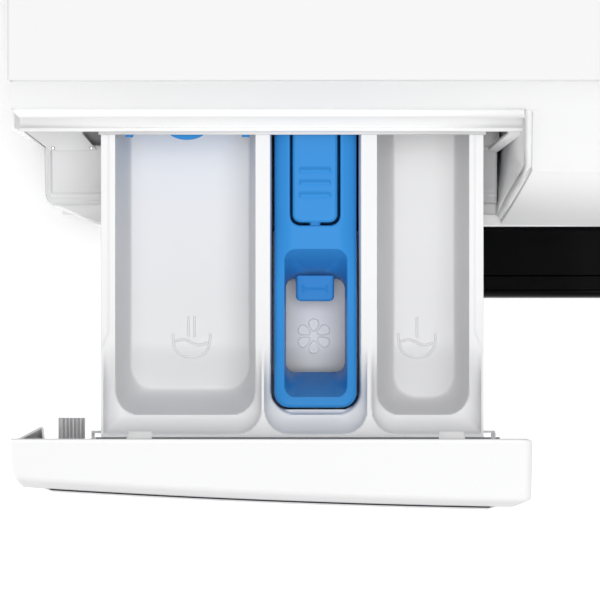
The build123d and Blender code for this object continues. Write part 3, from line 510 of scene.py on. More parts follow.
lip_x = np.linspace(-284.5, -96.4, 64)
lip_edge = drawer_depth(lip_x, LIP_Z) + TRAVEL
taper = np.clip(np.minimum(lip_x + 284.9, -96.0 - lip_x) / 2.4, 0.1, 1)[:, None]
lip_section = np.array([(0.0, 727.0), (0.62, 727.1), (0.75, 727.4), (1.15, 727.4), (1.35, 727.0),
                        (1.35, 726.3), (0.0, 726.1)])
lip = place(lip_x[:, None], lip_edge[:, None] - 0.1 + lip_section[None, :, 0] * taper,
            lip_section[None, :, 1])
build("drawer_grip_lip", [lip], "drawer", white, (), wrap=True, fill=True, smooth=50)
joint_dark = moulded("joint_shadow", (0.02, 0.024, 0.03), 0.6, grain=400.0, specular=0.1)
joint_x = np.linspace(-282.8, -98.2, 60)
joint_g = drawer_depth(joint_x, LIP_Z) + TRAVEL
joint = place(joint_x[:, None], joint_g[:, None] + np.array([[-0.4, -0.1, 0.25, 0.5]]),
              np.array([[727.2, 727.25, 727.25, 727.2]]))
build("drawer_lip_joint", [joint], "drawer", joint_dark, (), out=(0, 0, 1), wall=0.15)

# Painted shade: the front's left return wing and its web are white plastic tinted mid and dark grey for the
# shade behind the front's end.
wing_top = line_points([(-297.8, TRAVEL + 13.3, 770.4), (-285.8, TRAVEL + 6.9, 770.4),
                        (-284.9, TRAVEL + 7.4, 770.4), (-284.3, TRAVEL + 13.2, 770.4)], 24)
wing_low = line_points([(-296.0, TRAVEL + 13.6, 744.0), (-286.0, TRAVEL + 7.4, 744.0),
                        (-285.1, TRAVEL + 7.9, 744.0), (-284.6, TRAVEL + 13.4, 744.0)], 24)
build("drawer_left_wing", [ribbon(wing_top, wing_top * 0.5 + wing_low * 0.5, wing_low)], "drawer",
      moulded("wing_painted_shade", (0.62, 0.62, 0.625), 0.4), (), out=(-1, 1, 0.0), wall=0.9,
      round_edge=0.25)
wing_floor = np.array([(-297.4, 13.6, 752.0), (-291.0, 13.6, 752.0), (-284.5, 13.6, 752.0)])
wing_ridge = np.array([(-297.4, 13.4, 769.6), (-288.6, 8.6, 769.6), (-285.2, 7.6, 769.6)])
wing_fill = np.stack([wing_floor, (wing_floor + wing_ridge) / 2, wing_ridge])
build("drawer_wing_web", [place(wing_fill[..., 0], TRAVEL + wing_fill[..., 1], wing_fill[..., 2])], "drawer",
      moulded("wing_web_painted_shade", (0.36, 0.36, 0.365), 0.5), (), out=(0, 0.3, 1), wall=0.8)
strip_x = np.array([[-263.5, -181.0, -94.6]])
seam_strip = place(strip_x, np.array([[148.15], [148.75]]), 752.0)
build("tray_to_front_joint", [seam_strip], "drawer", joint_dark, (), out=(0, 0, 1), wall=0.6)
ledge_strip = place(strip_x, np.array([[148.75], [151.2]]), np.array([[769.0], [768.6]]))
build("drawer_back_ledge", [ledge_strip], "drawer", white, (), out=(0, 0, 1), wall=1.2)


# ------------------------------------------------------------------ drawer tray
# One thin-walled moulding with three wells: main wash, softener and prewash. The deck between them
# dips towards the front and sweeps up in coves to the front flange, leaving sharp ridges between.

tray_white = moulded("tray_moulding", (0.735, 0.735, 0.742), 0.4, grain=700.0, relief=0.00001, specular=0.25)
TRAY_TOP, POWDER_DEPTH, WELL_BACK = 770.0, 46.0, -47.3
FLOOR_BACK = WELL_BACK + 3


def well_drop(x, g, rim, floor, depth):
    """Fall of depth from the rim's outline to the smaller floor's, the wall curving out into the floor."""
    top = inside_round(x, g, *rim)
    foot = inside_round(x, g, *floor)
    share = np.clip(top / np.maximum(top - foot, 0.35), 0, 1)
    edge = 0.5 * ease(top / 0.6)
    return np.where(top > 0, edge + (depth - 0.5) * (1 - (1 - share) ** 1.7), 0.0)


bays = [(-259.7, -194.2), (-192.7, -150.0), (-148.0, -102.7)]


def deck(x, g):
    """Deck height: level at the back, dipping 7.5 mm forward inside each bay, with quarter-round coves."""
    dip = 7.5 * ease((g - 108.0) / 24.0)
    height = np.full(np.broadcast(x, g).shape, TRAY_TOP)
    radius = 10.5
    for x0, x1 in bays:
        open_left, open_right = x0 < -250, x1 > -110
        near = inside_round(x, g, x0 - radius * open_left, x1 + radius * open_right, -200.0, 146.5, radius)
        near = np.minimum(near, np.minimum(x - x0, x1 - x))
        reach = np.clip(1 - near / 7.6, 0, 1)
        floor_share = np.sqrt(np.clip(1 - reach ** 2, 0, 1))
        height = np.where(near > 0, TRAY_TOP - dip * floor_share, height)
    return height


def tray_height(x, g):
    """The whole upper surface of the tray: deck less the three wells, with a fine step beside the walls."""
    height = deck(x, g)
    height -= well_drop(x, g, (-254.8, -196.9, WELL_BACK, 138.7, 10.0),
                        (-248.6, -199.2, FLOOR_BACK, 127.4, 9.4), POWDER_DEPTH)
    height -= 2.2 * ease(inside_round(x, g, -190.1, -152.4, WELL_BACK, 138.6, 10.0) / 0.8)
    height -= 37.8 * ease(inside_round(x, g, -190.1, -153.35, WELL_BACK + 1, 136.3, 7.3) / 0.5)
    height -= well_drop(x, g, (-145.9, -107.6, WELL_BACK, 138.7, 10.0),
                        (-138.4, -113.6, FLOOR_BACK, 131.4, 10.0), POWDER_DEPTH)
    for edge, way in ((-257.8, -1.0), (-105.1, 1.0)):
        bend = edge + way * 2.4 * ease((g - 103.0) / 8.0)
        height -= 0.35 * ease(((x - bend) * way + 0.2) / 0.4) * (g < 111.5)
    return height


tray_x = np.concatenate([[-261.0, -260.9], np.linspace(-260.6, -101.9, 318), [-101.6, -101.5]])
tray_g = np.concatenate([np.linspace(-52.9, 18, 24)[:-1], np.linspace(18, 148.1, 236)])
mesh_x, mesh_g = np.meshgrid(tray_x, tray_g)
tray_z = tray_height(mesh_x, mesh_g)
tray_z[:, [0, -1]] = TRAY_TOP - 0.5
tray_z[-1] -= 0.25
tray_top = place(mesh_x, mesh_g, tray_z)


def skirt(edge, foot_z):
    """A wall from a row of edge points straight down to foot_z millimetres."""
    low = edge.copy()
    low[:, 2] = foot_z / 1000
    return np.stack([edge, low])


tray_foot = 711.2
base = place(np.array([[tray_x[0], tray_x[-1]]]), np.array([[tray_g[0]], [tray_g[-1]]]), tray_foot)
tray_edges = (tray_top[0], tray_top[-1], tray_top[:, 0], tray_top[:, -1])
build("tray_moulding", [tray_top] + [skirt(edge, tray_foot) for edge in tray_edges] + [base], "drawer",
      tray_white, ("drawer_tray",), out=(0, 0, 1), smooth=60)


# ------------------------------------------------------------------ wash symbols
# Three raised line drawings, part of the tray moulding: a bowl of water with one or two strokes above
# it in the powder wells, and a six-petalled flower on the softener well's floor.

def cord_ridge(path, z, width=0.66, height=0.85):
    """A low rounded ridge along (x, g) points: five points across, square to the path, at each point."""
    path = np.array(path, float)
    along = np.gradient(path, axis=0)
    along /= np.maximum(np.linalg.norm(along, axis=1)[:, None], 1e-9)
    side = np.stack([-along[:, 1], along[:, 0]], -1)
    offsets = np.array([-1, -0.7, 0, 0.7, 1]) * width
    lift = np.array([-0.25, height * 0.8, height, height * 0.8, -0.25])
    ground = z(path[:, 0], path[:, 1])
    return place(path[:, None, 0] + side[:, None, 0] * offsets,
                 path[:, None, 1] + side[:, None, 1] * offsets, ground[:, None] + lift[None, :])


def bowl_lines(cx, cg):
    """Bowl: a deep arc with flared arms and a wave across it, centred at cx, its foot at cg."""
    t = np.linspace(-1, 1, 41)
    flare = np.where(np.abs(t) > 0.93, 1.02, 1.0)
    bowl = np.stack([cx + 7.6 * np.sin(t * 1.75) / math.sin(1.75) * flare, cg - 9.6 * np.abs(t) ** 2.1], -1)
    wave_t = np.linspace(0, 1, 31)
    wave_g = cg - 6.1 - 1.1 * np.sin(wave_t * 2 * math.pi * 0.92 + 0.35)
    wave = np.stack([cx - 6.6 + 13.0 * wave_t, wave_g], -1)
    return [bowl, wave]


marks = {
    "main_wash_symbol": (bowl_lines(-223.4, 114.6), [(-224.7, 97.8, 106.2), (-222.2, 97.8, 106.2)]),
    "prewash_symbol": (bowl_lines(-129.0, 114.6), [(-129.0, 98.2, 106.4)]),
}
for name, (curves, strokes) in marks.items():
    shapes = [cord_ridge(c, tray_height) for c in curves]
    for sx, s0, s1 in strokes:
        shapes.append(cord_ridge([(sx, s) for s in np.linspace(s0, s1, 9)], tray_height))
    build(name, shapes, "drawer", tray_white, (), out=(0, 0, 1), smooth=60)
petal_t = np.linspace(0, 2 * math.pi, 41)
petals = []
for k in range(6):
    heading = math.radians(60 * k + 90)
    radius = 4.5 + 2.6 * np.cos(petal_t)
    swing = 2.7 * np.sin(petal_t) * (0.72 + 0.28 * np.cos(petal_t))
    petals.append(np.stack([-172.2 + radius * math.cos(heading) - swing * math.sin(heading),
                            105.9 - radius * math.sin(heading) - swing * math.cos(heading)], -1))
build("softener_symbol", [cord_ridge(p, tray_height, width=0.36, height=0.6) for p in petals], "drawer",
      tray_white, (), out=(0, 0, 1), smooth=60)


# ------------------------------------------------------------------ softener insert
# Blue polypropylene insert that drops into the middle well, with an open reservoir at the front and
# a raised level tab. The siphon cover with its three finger ribs is a separate snap-in moulding.

blue = moulded("softener_blue", (0.036, 0.245, 0.61), 0.38, grain=800.0, relief=0.00001, mottle=0.06,
               specular=0.06)
INSERT_TOP, INSERT_X, INSERT_HALF, INSERT_FRONT, INSERT_CORNER = 768.4, -171.55, 17.05, 135.6, 6.25


def insert_height(x, g):
    """Crowned top, long slot for the siphon cover, and the reservoir's steep, rounded hollow."""
    crown = 4.2 * np.clip((np.abs(x - INSERT_X) - 9.0) / 8.0, 0, 1) ** 2.0
    height = INSERT_TOP - crown * np.clip((100.0 - g) / 40.0, 0.35, 1)
    outline = inside_round(x, g, -188.6, -154.5, -60.0, INSERT_FRONT, INSERT_CORNER)
    height = height - 0.8 * (1 - ease(outline / 1.0))
    slot = inside_round(x, g, -182.1, -161.3, -60.0, 59.6, 4.1)
    height = np.where(slot > 0, height - 22.0 * ease(slot / 0.35), height - 0.35 * (1 - ease(-slot / 0.8)))
    top = inside_round(x, g, -184.3, -158.5, 69.7, 131.3, 4.6)
    foot = inside_round(x, g, -183.9, -159.4, 81.9, 121.0, 3.9)
    share = np.clip(top / np.maximum(top - foot, 0.3), 0, 1)
    return np.where(top > 0, height - 0.5 - (30.0 - 4.0 * (1 - share)) * share, height)


ix = np.concatenate([[-188.6], np.linspace(-188.45, -154.65, 96), [-154.5]])
ig = np.concatenate([np.linspace(-41, 18, 30)[:-1], np.linspace(18, INSERT_FRONT, 330)])
grid_x, grid_g = np.meshgrid(ix, ig)
shrink = np.clip((grid_g - (INSERT_FRONT - INSERT_CORNER)) / INSERT_CORNER, 0, 1)
half = INSERT_HALF - INSERT_CORNER * (1 - np.sqrt(1 - shrink ** 2))
grid_x = INSERT_X + (grid_x - INSERT_X) / INSERT_HALF * np.minimum(INSERT_HALF, half)
insert_z = insert_height(grid_x, grid_g)
centre_x = (grid_x[:-1, :-1] + grid_x[1:, 1:]) / 2
centre_g = (grid_g[:-1, :-1] + grid_g[1:, 1:]) / 2
hollow = inside_round(centre_x, centre_g, -183.9, -159.4, 81.9, 121.0, 3.9) > 0
insert_top = place(grid_x, grid_g, insert_z)
rim = np.concatenate([insert_top[:, 0], insert_top[-1, 1:], insert_top[::-1, -1][1:]])
build("insert_moulding", [insert_top, skirt(rim, 731.5)], "drawer", blue, ("softener_insert",),
      out=(0, 0, 1), keep=~hollow, smooth=50)
COVER_X, COVER_FRONT, COVER_CORNER = -171.75, 58.4, 3.4
cover_u = np.linspace(-1, 1, 61)
cover_g = np.concatenate([np.linspace(-38, 20, 12)[:-1], np.linspace(20, COVER_FRONT, 150)])
cover_drop = np.clip((cover_g - (COVER_FRONT - COVER_CORNER)) / COVER_CORNER, 0, 1)
cover_half = 9.25 - COVER_CORNER * (1 - np.sqrt(1 - cover_drop ** 2))
cover_x = COVER_X + cover_u[None, :] * cover_half[:, None]
cover_grid_g = cover_g[:, None] + 0 * cover_x
edge_in = inside_round(cover_x, cover_grid_g, -181.0, -162.5, -60, COVER_FRONT, COVER_CORNER)
cover_z = INSERT_TOP - 0.1 - 0.8 * (1 - ease(edge_in / 0.9))
for rib_g in (37.6, 42.8, 47.9):
    bar = ease((6.7 - np.abs(cover_x - COVER_X)) / 0.7)
    past_rib = cover_grid_g - rib_g
    rising = np.exp(-((past_rib + 0.8) / 1.0) ** 2) * (past_rib < 0)
    falling = np.clip(1 - past_rib / 0.45, 0, 1) * (past_rib >= 0) * math.exp(-(0.8 / 1.0) ** 2)
    cover_z += 0.75 * bar * (rising + falling)
cover_top = place(cover_x, cover_grid_g, cover_z)
cover_rim = np.concatenate([cover_top[:, 0], cover_top[-1, 1:], cover_top[::-1, -1][1:]])
build("siphon_cover_moulding", [cover_top, skirt(cover_rim, 748.0)], "drawer", blue, ("siphon_cover",),
      out=(0, 0, 1), smooth=50)
bridge = place(np.linspace(-173.9, -169.6, 5)[None, :], np.array([[57.9], [58.6], [59.4], [60.0]]), 766.9)
build("siphon_snap_tab", [bridge], "drawer", blue, (), out=(0, 0, 1), wall=1.0)
TAB_X, LEVEL_G = -171.7, 86.2
tab_u, tab_v = np.meshgrid(np.linspace(-1, 1, 33), np.linspace(0, 1, 33))
tab_g = 80.6 + 10.7 * tab_v
tab_half = 7.9 - 2.1 * (1 - np.sqrt(1 - np.clip((tab_g - 89.2) / 2.1, 0, 1) ** 2))
tab_x = TAB_X + tab_u * tab_half
aside, along_by = np.abs(tab_x - TAB_X), np.abs(tab_g - LEVEL_G)
edge_d = np.minimum(tab_half - aside, 91.3 - tab_g)
level_bar = ease((4.9 - aside) / 0.35) * ease((0.45 - along_by) / 0.3)
level_ends = ease((0.35 - np.abs(aside - 4.9)) / 0.25) * ease((1.9 - along_by) / 0.3)
tab_z = 748.0 - 0.6 * (1 - ease(edge_d / 0.8)) + 0.3 * level_bar + 0.3 * level_ends
build("level_tab", [place(tab_x, tab_g, tab_z)], "drawer", blue, (), out=(0, 0, 1), wall=1.4,
      smooth=50)
# Near-black: under the insert it is painted shadow, a dark plate in the gap where only shade shows; on the
# knob it is the pointer's own black print.
gap_black = moulded("gap_shadow_and_pointer_black", (0.006, 0.006, 0.007), 0.7, grain=300.0, specular=0.1)
build("insert_gap_painted_shadow", [place(np.array([[-189.2, -153.6]]), np.array([[-30.0], [62.0]]), 745.0)],
      "drawer", gap_black, (), out=(0, 0, 1), wall=0.6)

# Liquid flap: blue plate hung across the main well, its hinge rod and two bearing hooks at the top.
flap_profile = [(19.7, 722.0), (19.7, 764.9), (20.5, 765.9), (21.3, 764.9), (21.3, 722.0), (20.5, 721.6)]
build("liquid_flap_plate", [sweep_profile(flap_profile, np.linspace(-248.4, -203.4, 12))], "flap", blue,
      ("liquid_flap",), fill=True, smooth=50)
lens_u, lens_v = np.meshgrid(np.linspace(-1, 1, 41), np.linspace(0, 1, 9))
lens = place(-225.2 + 8.0 * lens_u, 20.4 + (3.6 * (1 - lens_u ** 2) ** 0.6) * lens_v,
             765.2 - 0.9 * lens_v ** 2)
build("liquid_flap_tab", [lens], "flap", blue, (), out=(0, 0, 1), wall=1.2, smooth=60)
for k, hook_x in enumerate((-249.2, -200.6)):
    hook_profile = [(18.6, 763.6), (18.6, 766.9), (22.4, 766.9), (23.0, 766.0), (22.4, 763.6)]
    hook = sweep_profile(hook_profile, (hook_x - 1.7, hook_x, hook_x + 1.7))
    build(f"flap_hook_{k + 1}", [hook], "flap", blue, (), fill=True, round_edge=0.4)


# ------------------------------------------------------------------ drawer fittings
# Light grey snap clips, dark grey side brackets and a ribbed guide block join the tray to its front.

clip_grey = moulded("clip_grey", (0.76, 0.76, 0.76), 0.4, grain=600.0)
dark_grey = moulded("bracket_grey", (0.26, 0.26, 0.265), 0.45, grain=500.0)
clip_rows = [(145.5, 770.05, 0), (145.6, 770.5, 0), (149.9, 770.65, 1), (149.9, 760.0, 1)]
clip_g, clip_z, clip_share = np.array(clip_rows).T[:, :, None]
clip_ends = [((-249.5, -239.8), (-250.6, -239.8)), ((-120.1, -109.9), (-120.1, -109.0))]
for k, (near, far) in enumerate(clip_ends):
    clip = place(np.array(near) + np.subtract(far, near) * clip_share, clip_g, clip_z)
    build(f"snap_clip_{k + 1}", [clip], "drawer", clip_grey, ("drawer_clips",),
          out=(0, 0, 1), wall=0.9, round_edge=0.2)
guide = []
for x0, x1, g0, g1, z0, z1 in [(-265.0, -261.3, 145.4, 146.4, 742, 766),
                               (-265.0, -263.8, 146.4, 150.0, 742, 764),
                               (-101.2, -96.6, 145.4, 146.2, 742, 766),
                               (-98.2, -96.4, 146.2, 150.0, 742, 764)]:
    outline_g, outline_z = (g0, g0, g1, g1, g0), (z0, z1, z1, z0, z0)
    guide.append(np.stack([place(x, outline_g, outline_z) for x in (x0, x1)], 1))
rib_x = np.linspace(-278.8, -267.8, 89)
rib_top = 764.0 + 4.0 * (0.5 + 0.5 * np.cos((rib_x + 277.2) / 3.1 * 2 * math.pi)) ** 1.4
comb = place(rib_x[None, :], np.array([[140.0], [140.0], [150.5], [150.5]]),
             np.stack([0 * rib_x + 742.0, rib_top, rib_top, 0 * rib_x + 742.0]))
guide.append(comb)
build("drawer_brackets_and_guide", guide, "drawer", moulded("guide_grey", (0.52, 0.52, 0.525), 0.45),
      ("drawer_brackets",), fill=True, weld=0.000001)


# ------------------------------------------------------------------ door
# Round side-hung door: gloss black bezel over a frame ring, a smoked flat window and a glass bowl.
# The bezel and its chrome trim ring are snapped on, and close over the edge of the window.

def turned(profile, spokes=192):
    """A (g, radius) outline turned about the drum's axle, one row for each outline point."""
    turn_by = np.linspace(0, 2 * math.pi, spokes + 1)[:-1]
    g, radius = np.array(profile, float).T[:, :, None]
    return place(radius * np.cos(turn_by), g, axle_height + radius * np.sin(turn_by))


gloss_black = moulded("gloss_black", (0.002, 0.002, 0.0022), 0.2, grain=500.0, relief=0.000004,
                      specular=0.06, mottle=0.2)
bezel_profile = [(60.4, 224.0), (60.4, 230.4), (61.6, 231.6), (70.0, 232.0), (80.2, 232.0), (80.55, 231.1),
                 (80.9, 232.0),
                 (86.4, 232.0), (86.65, 231.3), (86.9, 231.7), (88.8, 230.6), (89.7, 228.6), (90.0, 225.0),
                 (90.0, 180.0), (89.2, 172.0), (86.0, 154.0), (84.4, 150.0), (80.0, 149.8),
                 (66.0, 149.8), (65.0, 160.0), (61.4, 200.0), (60.4, 224.0)]
build("door_bezel_ring", [turned(bezel_profile, 256)], "door", gloss_black, ("door_bezel",),
      out=(0, -1, 0.0), wrap=True, smooth=40)
window_profile = [(84.1, 0.5), (84.1, 147.6), (83.7, 148.9), (82.4, 149.6), (80.6, 149.6)]
smoke = moulded("smoked_window", (0.012, 0.012, 0.014), 0.07, grain=300.0, relief=0.000002, specular=0.5)
build("door_smoked_window", [turned(window_profile)], "door", smoke, ("door_window",),
      out=(0, -1, 0), wrap=True, fill=True, smooth=40)
trim_chrome = moulded("spun_chrome", (0.62, 0.62, 0.63), 0.14, grain=500.0, metal=1.0)
trim_profile = [(84.6, 151.2), (86.4, 152.0), (86.8, 153.8), (86.0, 155.4), (84.4, 155.0)]
build("door_trim_ring", [turned(trim_profile)], "door", trim_chrome, (), out=(0, -1, 0),
      wrap=True, smooth=60)


# ------------------------------------------------------------------ knob, buttons and display
# The knob is a spun aluminium cap with a knurled skirt, pressed on its shaft; the keys are white caps
# with a printed ring each; the display's digits glow through a smoked pane bonded to the bow.

FACE_MIDDLE_Z = SEAM_Z - FACE_HEIGHT / 2


def face_frame(x):
    """Middle of the fascia's face at x, then its across, up-slope and outward directions, as (x, g, z)."""
    depth = float(crease(x))
    length = math.hypot(FACE_HEIGHT, depth)
    up, normal = (0, -depth / length, FACE_HEIGHT / length), (0, FACE_HEIGHT / length, depth / length)
    return [np.array(v) for v in ((x, depth / 2, FACE_MIDDLE_Z), (1.0, 0, 0), up, normal)]


def on_face(x, across_by, up_by, out_by):
    """Places points given across, up and out from the fascia's face at x."""
    origin, right, up, normal = face_frame(x)
    across_by, up_by, out_by = (np.asarray(v)[..., None] for v in (across_by, up_by, out_by))
    at = origin + across_by * right + up_by * up + out_by * normal
    return place(at[..., 0], at[..., 1], at[..., 2])


def on_bow(x, across_by, up_by, out_by):
    """As on_face, but each point sits on the bowed face at its own x."""
    flat = [np.broadcast_to(v, np.broadcast(across_by, up_by, out_by).shape).ravel()
            for v in (across_by, up_by, out_by)]
    depth = crease(x + flat[0])
    length = np.hypot(FACE_HEIGHT, depth)
    g = depth / 2 - flat[1] * depth / length + flat[2] * FACE_HEIGHT / length
    z = FACE_MIDDLE_Z + flat[1] * FACE_HEIGHT / length + flat[2] * depth / length
    return place(x + flat[0], g, z).reshape(*np.broadcast(across_by, up_by, out_by).shape, 3)


def turned_on_face(x, profile, spokes=96, knurl=0.0, teeth=60):
    """An outline of (radius, height) turned about the face's normal at x, knurled where knurl says."""
    spin = np.linspace(0, 2 * math.pi, spokes + 1)[:-1]
    outline = np.array(profile, float)
    wave = knurl * np.cos(spin * teeth)[None, :] * (outline[:, 2:3] if outline.shape[1] > 2 else 0)
    radius = outline[:, 0:1] + wave
    return on_face(x, radius * np.cos(spin), radius * np.sin(spin), outline[:, 1:2] + 0 * radius)


spun = moulded("spun_aluminium", (0.66, 0.66, 0.67), 0.26, grain=900.0, mottle=0.05, metal=1.0)
KNOB_X = 8.0
knob_profile = [(25.0, 0.9, 0), (25.0, 2.0, 0), (24.2, 2.6, 1), (23.4, 14.2, 1), (22.8, 15.4, 0),
                (21.6, 16.2, 0), (20.4, 15.9, 0), (19.0, 15.6, 0), (0.3, 15.6, 0)]
build("program_knob_cap", [turned_on_face(KNOB_X, knob_profile, 360, 0.22, 60)], "knob", spun,
      ("program_knob",), out=(0, -0.8, 0.6), wrap=True, fill=True, smooth=40)
pointer = on_face(KNOB_X, np.array([[-0.6, 0.6]] * 4), np.array([[13.0], [13.4], [18.2], [18.6]]),
                  np.array([[15.5], [15.95], [15.95], [15.5]]))
build("program_knob_mark", [pointer], "knob", gap_black, (), out=(0, -0.8, 0.6))
ring_white = moulded("key_white", (0.80, 0.80, 0.80), 0.28)
key = [(8.0, -11.0), (8.0, 1.0), (7.6, 1.7), (6.8, 2.0), (5.6, 1.95), (3.0, 1.86), (0.2, 1.84)]
for body, at, mark in (("power", -38.0, (2.6, 0.35, 5.6)), ("option", 222.0, (1.6, 0.0, 6.28)),
                       ("start", 252.0, (2.4, 0.0, 6.28))):
    build(f"{body}_key", [turned_on_face(at, key, 64)], body, ring_white, (f"{body}_button",),
          out=(0, -0.8, 0.6), wrap=True, fill=True, smooth=45)
    sweep_by = np.linspace(mark[1] + 1.57, mark[2] + 1.57, 40)
    ring_radius = mark[0] + np.array([[0], [0.35]])
    band = on_face(at, ring_radius * np.cos(sweep_by), ring_radius * np.sin(sweep_by),
                   np.full((2, 40), 2.02))
    build(f"{body}_key_ring", [band], body, dark_grey, (), out=(0, -0.8, 0.6), wall=0.15)


def glowing(name, colour, strength):
    """A lit legend: emission over a dark base."""
    made, shader, where = new_material(name)
    pulse = where.node("ShaderNodeTexNoise", None, Vector=where, Scale=600.0)
    made.node_tree.links.new((pulse * 0.1 + 0.4).socket, shader.inputs["Roughness"])
    shader.inputs["Base Color"].default_value = (*[c * 0.5 for c in colour], 1)
    shader.inputs["Emission Color"].default_value = (*colour, 1)
    shader.inputs["Emission Strength"].default_value = strength
    return made


lit = glowing("display_light", (0.75, 0.88, 1.0), 1.6)
corner_t = np.linspace(0, 2 * math.pi, 97)[:-1]
corner_r = 4.6
window_half = (65.1, 17.1)
WINDOW_X = 125.0


def round_rect(half_w, half_h, radius):
    """Outline of a rectangle with round corners, 24 points to a corner."""
    cx = np.where(np.cos(corner_t) >= 0, half_w - radius, radius - half_w)
    cy = np.where(np.sin(corner_t) >= 0, half_h - radius, radius - half_h)
    return cx + radius * np.cos(corner_t), cy + radius * np.sin(corner_t)


pane_rows = [(0, -2.8), (0, -0.1), (-0.25, 0.15), (-0.8, 0.28), (-6.0, 0.3)]
pane = [round_rect(window_half[0] + d, window_half[1] + d, max(corner_r + d, 0.4)) for d, h in pane_rows]
pane_across, pane_up = np.array(pane).transpose(1, 0, 2)
pane_out = np.array([[h] * len(corner_t) for d, h in pane_rows])
build("display_pane", [on_bow(WINDOW_X, pane_across, pane_up, pane_out)], "root", smoke, ("display_window",),
      out=(0, -0.8, 0.6), wrap=True, fill=True, smooth=40)


def lit_bar(x, y, half_w, half_h):
    """A small lit rectangle centred x across and y up from the middle of the display, on its pane."""
    across_by = np.array([[-half_w, half_w], [-half_w, half_w]]) + x
    up_by = np.array([[-half_h, -half_h], [half_h, half_h]]) + y
    return on_bow(WINDOW_X, across_by, up_by, np.full((2, 2), 0.36))


segments = {"a": (0, 4, 1), "g": (0, 0, 1), "d": (0, -4, 1), "f": (-2.2, 2, 0), "b": (2.2, 2, 0),
            "e": (-2.2, -2, 0), "c": (2.2, -2, 0)}
digits = [(-9.0, "bc"), (1.0, "abcdef"), (8.0, "acdefg")]
bars = []
for offset, lit_bars in digits:
    for bar in lit_bars:
        bx, by, flat = segments[bar]
        w, h = (1.6, 0.4) if flat else (0.4, 1.55)
        bars.append(lit_bar(offset + bx, by, w, h))
for dot_y in (-1.6, 1.6):
    bars.append(lit_bar(-4.2, dot_y, 0.4, 0.4))
for k in range(6):
    bars.append(lit_bar(-52 + 7.4 * k, -9.0, 2.2, 0.25))
build("display_digits", bars, "root", lit, (), out=(0, -0.8, 0.6), wall=0.08)


# ------------------------------------------------------------------ carried-over parts
# Sheet steel, castings, plastic and rubber parts whose made shape is already right keep it and get
# their own finishes: galvanised or plated steel, perforated drum steel, moulded resin, rubber and glass.

def brushed(name, colour, rough, lines=(40.0, 40.0, 3000.0)):
    """Rolled or brushed metal: noise drawn out along one direction varies colour, roughness and relief."""
    made, shader, where = new_material(name)
    drawn = where.node("ShaderNodeMapping", None, Vector=where, Scale=lines)
    streak = where.node("ShaderNodeTexNoise", None, Vector=drawn, Scale=1.0, Detail=3.0)
    tint = where.node("ShaderNodeValToRGB",
                      {"stops": [(0.3, tuple(c * 0.86 for c in colour)), (0.7, colour)]}, Fac=streak)
    link = made.node_tree.links.new
    link(tint.socket, shader.inputs["Base Color"])
    link((streak * 0.16 + (rough - 0.08)).socket, shader.inputs["Roughness"])
    link(where.node("ShaderNodeBump", None, Height=streak, Distance=0.00002, Strength=0.4).socket,
         shader.inputs["Normal"])
    shader.inputs["Metallic"].default_value = 1.0
    return made


def perforated(name, colour):
    """Drum steel with rows of round holes: a dark dot at each place of a staggered lattice."""
    made, shader, where = new_material(name)
    split = where.node("ShaderNodeSeparateXYZ", None, Vector=where).socket.node.outputs
    px, py, pz = (Socket(where.tree, split[k]) for k in range(3))
    spin = where.math("ARCTAN2", pz - axle_height / 1000, px) * (0.2385 / 0.012)
    run = py / 0.0105
    row = where.math("FLOOR", run)
    u = where.math("FRACT", spin + row * 0.5) - 0.5
    v = where.math("FRACT", run) - 0.5
    far = where.math("SQRT", u * u * 1.3 + v * v)
    hole = far < 0.17
    steel_tint = where.node("ShaderNodeMix", {"data_type": "RGBA"}, i0=hole, i6=(*colour, 1),
                            i7=(0.01, 0.01, 0.012, 1))
    link = made.node_tree.links.new
    link(steel_tint.socket.node.outputs[2], shader.inputs["Base Color"])
    link((hole * 0.5 + 0.24).socket, shader.inputs["Roughness"])
    dish = where.math("SMOOTH_MIN", far, 0.3, 0.1)
    link(where.node("ShaderNodeBump", None, Height=dish, Distance=0.0015, Strength=0.6).socket,
         shader.inputs["Normal"])
    shader.inputs["Metallic"].default_value = 1.0
    return made


def clear_glass():
    """Pressed clear glass with faint ripples and a slight green tone."""
    made, shader, where = new_material("pressed_glass")
    ripple = where.node("ShaderNodeTexNoise", None, Vector=where, Scale=30.0, Detail=1.0)
    link = made.node_tree.links.new
    link((ripple * 0.04 + 0.02).socket, shader.inputs["Roughness"])
    link(where.node("ShaderNodeBump", None, Height=ripple, Distance=0.0002, Strength=0.3).socket,
         shader.inputs["Normal"])
    shader.inputs["Base Color"].default_value = (0.86, 0.93, 0.91, 1)
    shader.inputs["Transmission Weight"].default_value = 0.92
    shader.inputs["IOR"].default_value = 1.5
    return made


zinc = brushed("galvanised_sheet", (0.55, 0.56, 0.58), 0.42, (12.0, 12.0, 60.0))
bolt_steel = brushed("plated_steel", (0.5, 0.5, 0.51), 0.34)
drum_steel = brushed("drum_steel", (0.66, 0.66, 0.67), 0.28, (60.0, 2500.0, 60.0))
rubber = moulded("seal_rubber", (0.12, 0.12, 0.125), 0.6, grain=450.0, relief=0.00004, mottle=0.15)
sole = moulded("foot_rubber", (0.03, 0.03, 0.03), 0.7, grain=350.0, relief=0.00005, mottle=0.2)
plinth_white = moulded("plinth_white", (0.78, 0.78, 0.785), 0.4, grain=900.0)
floor_pan = moulded("pan_grey", (0.22, 0.22, 0.225), 0.5, grain=300.0, relief=0.00004)
tub_resin = moulded("tub_resin", (0.36, 0.38, 0.38), 0.5, grain=250.0, relief=0.00004, mottle=0.08)
cast = moulded("rough_casting", (0.10, 0.10, 0.105), 0.8, grain=120.0, relief=0.0004, mottle=0.3)
board_green = moulded("coated_board", (0.02, 0.12, 0.05), 0.4, grain=900.0, mottle=0.2)
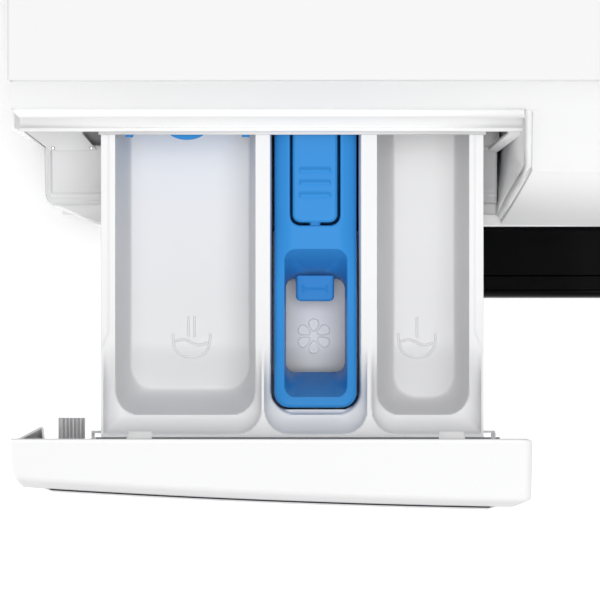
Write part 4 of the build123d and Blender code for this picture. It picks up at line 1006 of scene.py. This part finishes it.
finishes = {
    "side_panel_left": enamel, "side_panel_right": enamel, "rear_panel": zinc, "rear_cover": zinc,
            "base_tray": floor_pan,
    "feet": sole, "foot_nuts": bolt_steel, "plinth_panel": plinth_white, "service_flap": plinth_white,
            "control_board": board_green,
    "dispenser_housing": tray_white, "water_distributor": tray_white, "inlet_valve": dark_grey,
            "inlet_hose": rubber,
    "fill_bellows": rubber, "door_frame": dark_grey, "door_glass": clear_glass(),
    "hinge_leaf": bolt_steel, "hinge_bracket": bolt_steel, "latch_hook": dark_grey, "door_lock": dark_grey,
    "tub_rear": tub_resin, "tub_front": tub_resin, "counterweight": cast, "door_gasket": rubber,
            "heater": bolt_steel,
    "drum_shell": perforated("perforated_drum", (0.66, 0.66, 0.67)), "drum_back": drum_steel,
            "drum_lifters": drum_steel,
    "motor_rotor": zinc, "motor_stator": bolt_steel, "drum_bearings": bolt_steel, "tub_springs": bolt_steel,
    "tub_dampers": dark_grey, "transit_bolts": clip_grey, "filter_housing": dark_grey,
            "filter_cap": dark_grey,
    "drain_pump": dark_grey, "pump_impeller": clip_grey, "drain_hose": rubber, "mains_gland": dark_grey,
            "sump_hose": rubber,
}
for node, finish in finishes.items():
    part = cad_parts[node]
    part.data.materials.clear()
    part.data.materials.append(finish)


# ------------------------------------------------------------------ stage
# Plain pale floor, a white sky that lights evenly, one broad soft light from above and a weaker one
# from the front.

floor_mesh = bpy.data.meshes.new("floor")
floor_mesh.from_pydata([(-9, -9, -0.0005), (9, -9, -0.0005), (9, 9, -0.0005), (-9, 9, -0.0005)], [],
                       [(0, 1, 2, 3)])
floor = bpy.data.objects.new("floor", floor_mesh)
bpy.context.scene.collection.objects.link(floor)
paint = moulded("floor_paint", (0.94, 0.94, 0.94), 0.8, grain=20.0, relief=0.00001, specular=0.1,
                mottle=0.005)
floor_shader = paint.node_tree.nodes["Principled BSDF"]
floor_shader.inputs["Emission Color"].default_value = (1, 1, 1, 1)
floor_shader.inputs["Emission Strength"].default_value = 0.12
floor_mesh.materials.append(paint)
sky = bpy.data.worlds.new("studio_sky")
sky.use_nodes = True
sky.node_tree.nodes["Background"].inputs["Color"].default_value = (1.0, 1.0, 1.0, 1)
sky.node_tree.nodes["Background"].inputs["Strength"].default_value = 0.45
bpy.context.scene.world = sky

for name, strength, tilt, lean, breadth in (("overhead_light", 1.9, 1, 2, 36),
                                            ("front_light", 0.95, 56, -8, 40)):
    lamp_data = bpy.data.lights.new(name, "SUN")
    lamp_data.energy, lamp_data.angle = strength, math.radians(breadth)
    lamp = bpy.data.objects.new(name, lamp_data)
    lamp.rotation_euler = (math.radians(tilt), math.radians(lean), 0)
    bpy.context.scene.collection.objects.link(lamp)
bpy.context.scene.view_settings.view_transform = "Standard"
